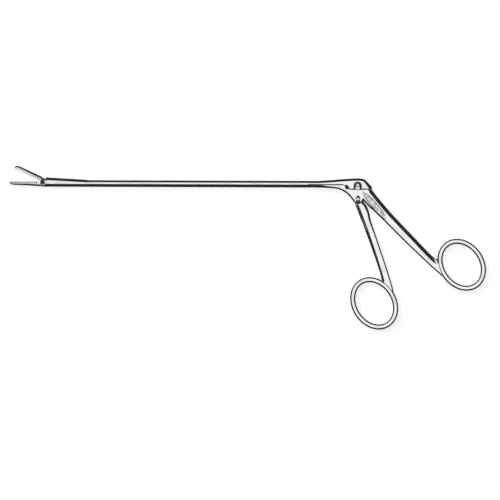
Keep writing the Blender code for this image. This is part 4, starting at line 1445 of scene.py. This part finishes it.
@dataclass
class Pins:
    """Turned pins, the pivot screw and the guide studs."""

    recess: float = 0.12
    small_dome: float = 0.12
    drive_dome: float = 0.42
    crown_share: float = 0.68
    crown_dome: float = 0.03
    crown_steps: int = 4
    shoulder: Span = (0.125, 1.3)
    tip_chamfer: float = 0.15
    screw_radius: float = 0.95
    head_radius: float = 1.30
    head_height: float = 0.75
    crown: Line = ((0.02, 0.0), (0.4, 0.02), (0.75, 0.08), (1.0, 0.17), (1.18, 0.28), (1.27, 0.38),
                   (1.30, 0.46))
    slot_width: float = 0.40
    slot_depth: float = 0.30
    studs: int = 3

    def _pin(self, node: str, radius: float, half_length: float, dome: float) -> Solid:
        """Return a pin along Z with domed ends.

        Args:
            node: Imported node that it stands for.
            radius: Radius of the pin.
            half_length: Half of its length.
            dome: Height of its domed ends.

        Returns:
            The pin.
        """
        crown = radius * self.crown_share
        inward, down = self.shoulder
        steps = [i / self.crown_steps for i in range(self.crown_steps + 1)]
        end = [(crown * step, half_length - self.crown_dome * step ** 2) for step in steps]
        end += [(radius - dome * inward, half_length - dome), (radius, half_length - dome * down)]
        return Solid.turning(f"{node}_body", end + [(r, -z) for r, z in end[::-1]], TURNED, 48)

    def _screw(self) -> Solid:
        """Return the slotted pivot screw.

        Returns:
            The screw.
        """
        top = SHAFT.body_half - self.recess
        seat = top - self.head_height
        profile = [(r, top - drop) for r, drop in self.crown]
        profile += [(self.head_radius, seat), (self.screw_radius, seat),
                    (self.screw_radius, self.tip_chamfer - top),
                    (self.screw_radius - self.tip_chamfer, -top), (self.crown[0][0], -top)]
        screw = Solid.turning("lever_pivot_screw_body", profile, TURNED)
        return screw.cut(block("screw_slot", (-FAR, -self.slot_width / 2, top - self.slot_depth),
                               (FAR, self.slot_width / 2, FAR), TURNED))

    def build(self) -> None:
        """Build the pins and dress the hidden studs."""
        self._screw().finish("lever_pivot_screw", Body.FRAME, Slot.PIN)
        places = (
            ("jaw_pivot_pin", SHAFT.pin_radius, JAW.half_width, self.small_dome, JAW_PIVOT, Body.FRAME),
            ("jaw_link_pin", SHAFT.pin_radius, SHAFT.radius, self.small_dome,
             JAW_PIVOT + Vector((*SHAFT.link_pin, 0.0)), Body.SLIDE),
            ("drive_pin", SHAFT.drive_radius, SHAFT.body_half, self.drive_dome,
             Vector((*SHAFT.drive_pin, 0.0)), Body.LEVER))
        for node, radius, half, dome, place, body in places:
            pin = self._pin(node, radius, half - self.recess, dome)
            pin.placed(Matrix.Translation(place)).finish(node, body, Slot.PIN)
        for number in range(1, self.studs + 1):
            stud = frame["nodes"][f"guide_stud_{number}"]
            stud.data.materials.clear()
            stud.data.materials.append(TURNED.material())
            LOG.info("guide_stud_%d keeps its packed shape", number)


@dataclass(frozen=True)
class Studio:
    """Pale floor, soft light from the upper left and a camera that looks straight down."""

    image_pixels: int = 500
    pixel_size: float = 0.6
    view_centre: Point = (0.0015, -0.00126)
    roll: float = 0.0033
    clip_start_share: float = 0.01
    clip_end: float = 100.0
    lens: float = 200.0
    sensor: float = 36.0
    floor_size: float = 12.0
    floor_colour: Colour = (0.88, 0.88, 0.88)
    floor_glow: float = 0.58
    floor_drop: float = 0.00002
    floor_roughness: float = 0.9
    floor_sheen: float = 0.1
    box_direction: tuple[float, float, float] = (-0.10, 0.15, 0.98)
    box_edge: Span = (0.76, 0.84)
    box_level: float = 1.10
    dark_level: float = 0.02
    horizon_level: float = 1.0
    horizon_edge: Span = (0.06, 0.11)
    lamp_direction: tuple[float, float, float] = (-0.66, 0.46, 0.60)
    lamp_spread: float = 50.0
    lamp_power: float = 0.35

    def _floor(self) -> None:
        """Lay the floor."""
        mesh = bpy.data.meshes.new("floor")
        half = self.floor_size / 2
        corners = [(-half, -half, 0.0), (half, -half, 0.0), (half, half, 0.0), (-half, half, 0.0)]
        mesh.from_pydata(corners, [], [(0, 1, 2, 3)])
        floor = shown("floor", mesh)
        floor.location.z = -self.floor_drop
        material = bpy.data.materials.new("pale_floor")
        material.use_nodes = True
        graph = Graph(material.node_tree)
        path = graph.node("ShaderNodeLightPath")
        seen = path[CAMERA_RAY].larger(path[GLOSSY_RAY]).larger(path[TRANSMISSION_RAY])
        shader = graph.node("ShaderNodeBsdfPrincipled", {
            "Base Color": (*self.floor_colour, 1.0), "Roughness": self.floor_roughness,
            "Specular IOR Level": self.floor_sheen, "Emission Color": WHITE,
            "Emission Strength": seen * self.floor_glow})[0]
        graph.node("ShaderNodeOutputMaterial", {"Surface": shader})
        mesh.materials.append(material)

    def _sky(self) -> None:
        """Light the scene from a soft overhead box, with darker sides and a pale horizon."""
        world = bpy.data.worlds.new("studio")
        bpy.context.scene.world = world
        world.use_nodes = True
        graph = Graph(world.node_tree)
        direction = graph.node("ShaderNodeTexCoord")[GENERATED_PLACE]
        unit = graph.node("ShaderNodeVectorMath", {0: direction}, operation="NORMALIZE")[0]
        sides = {0: unit, 1: tuple(Vector(self.box_direction).normalized())}
        facing = graph.node("ShaderNodeVectorMath", sides, operation="DOT_PRODUCT")[0]
        height = graph.node("ShaderNodeSeparateXYZ", {0: unit})[HEIGHT]
        inside = facing.eased(*self.box_edge)
        low = 1 - height.eased(*self.horizon_edge)
        upper = inside * (self.box_level - self.dark_level) + self.dark_level
        level = upper * (1 - low) + low * self.horizon_level
        light = graph.node("ShaderNodeBackground", {"Color": WHITE, "Strength": level})[0]
        graph.node("ShaderNodeOutputWorld", {"Surface": light})

    def _lamp(self) -> None:
        """Let broad, even light fall from the upper left."""
        lamp = bpy.data.lights.new("soft_lamp", "SUN")
        lamp.energy = self.lamp_power
        lamp.angle = math.radians(self.lamp_spread)
        thing = shown("soft_lamp", lamp)
        thing.location = self.lamp_direction
        thing.rotation_mode = "QUATERNION"
        thing.rotation_quaternion = Vector(self.lamp_direction).to_track_quat("Z", "Y")
        thing.visible_glossy = False

    def _camera(self) -> None:
        """Aim the camera straight down, with the picture's own scale and slight roll."""
        camera = bpy.data.cameras.new("camera")
        camera.lens = self.lens
        camera.sensor_width = self.sensor
        width = self.image_pixels * self.pixel_size * MM
        distance = width * self.lens / self.sensor
        thing = shown("camera", camera)
        thing.location = (*self.view_centre, LEVER_PIVOT.z + distance)
        thing.rotation_euler = (0.0, 0.0, self.roll)
        camera.clip_start = distance * self.clip_start_share
        camera.clip_end = self.clip_end
        bpy.context.scene.camera = thing

    def build(self) -> None:
        """Build the studio."""
        self._floor()
        self._sky()
        self._lamp()
        self._camera()
        bpy.context.scene.view_settings.view_transform = "Standard"


def main() -> None:
    """Build every piece and the studio, in order."""
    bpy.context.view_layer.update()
    lever = FingerLever()
    Studio().build()
    FixedHandle().build(lever)
    lever.build()
    SlideBar().build()
    UpperJaw().build()
    Pins().build()
    bpy.context.view_layer.update()


if __name__ == "__main__":
    logging.basicConfig(level=logging.INFO, format="%(message)s")
    main()
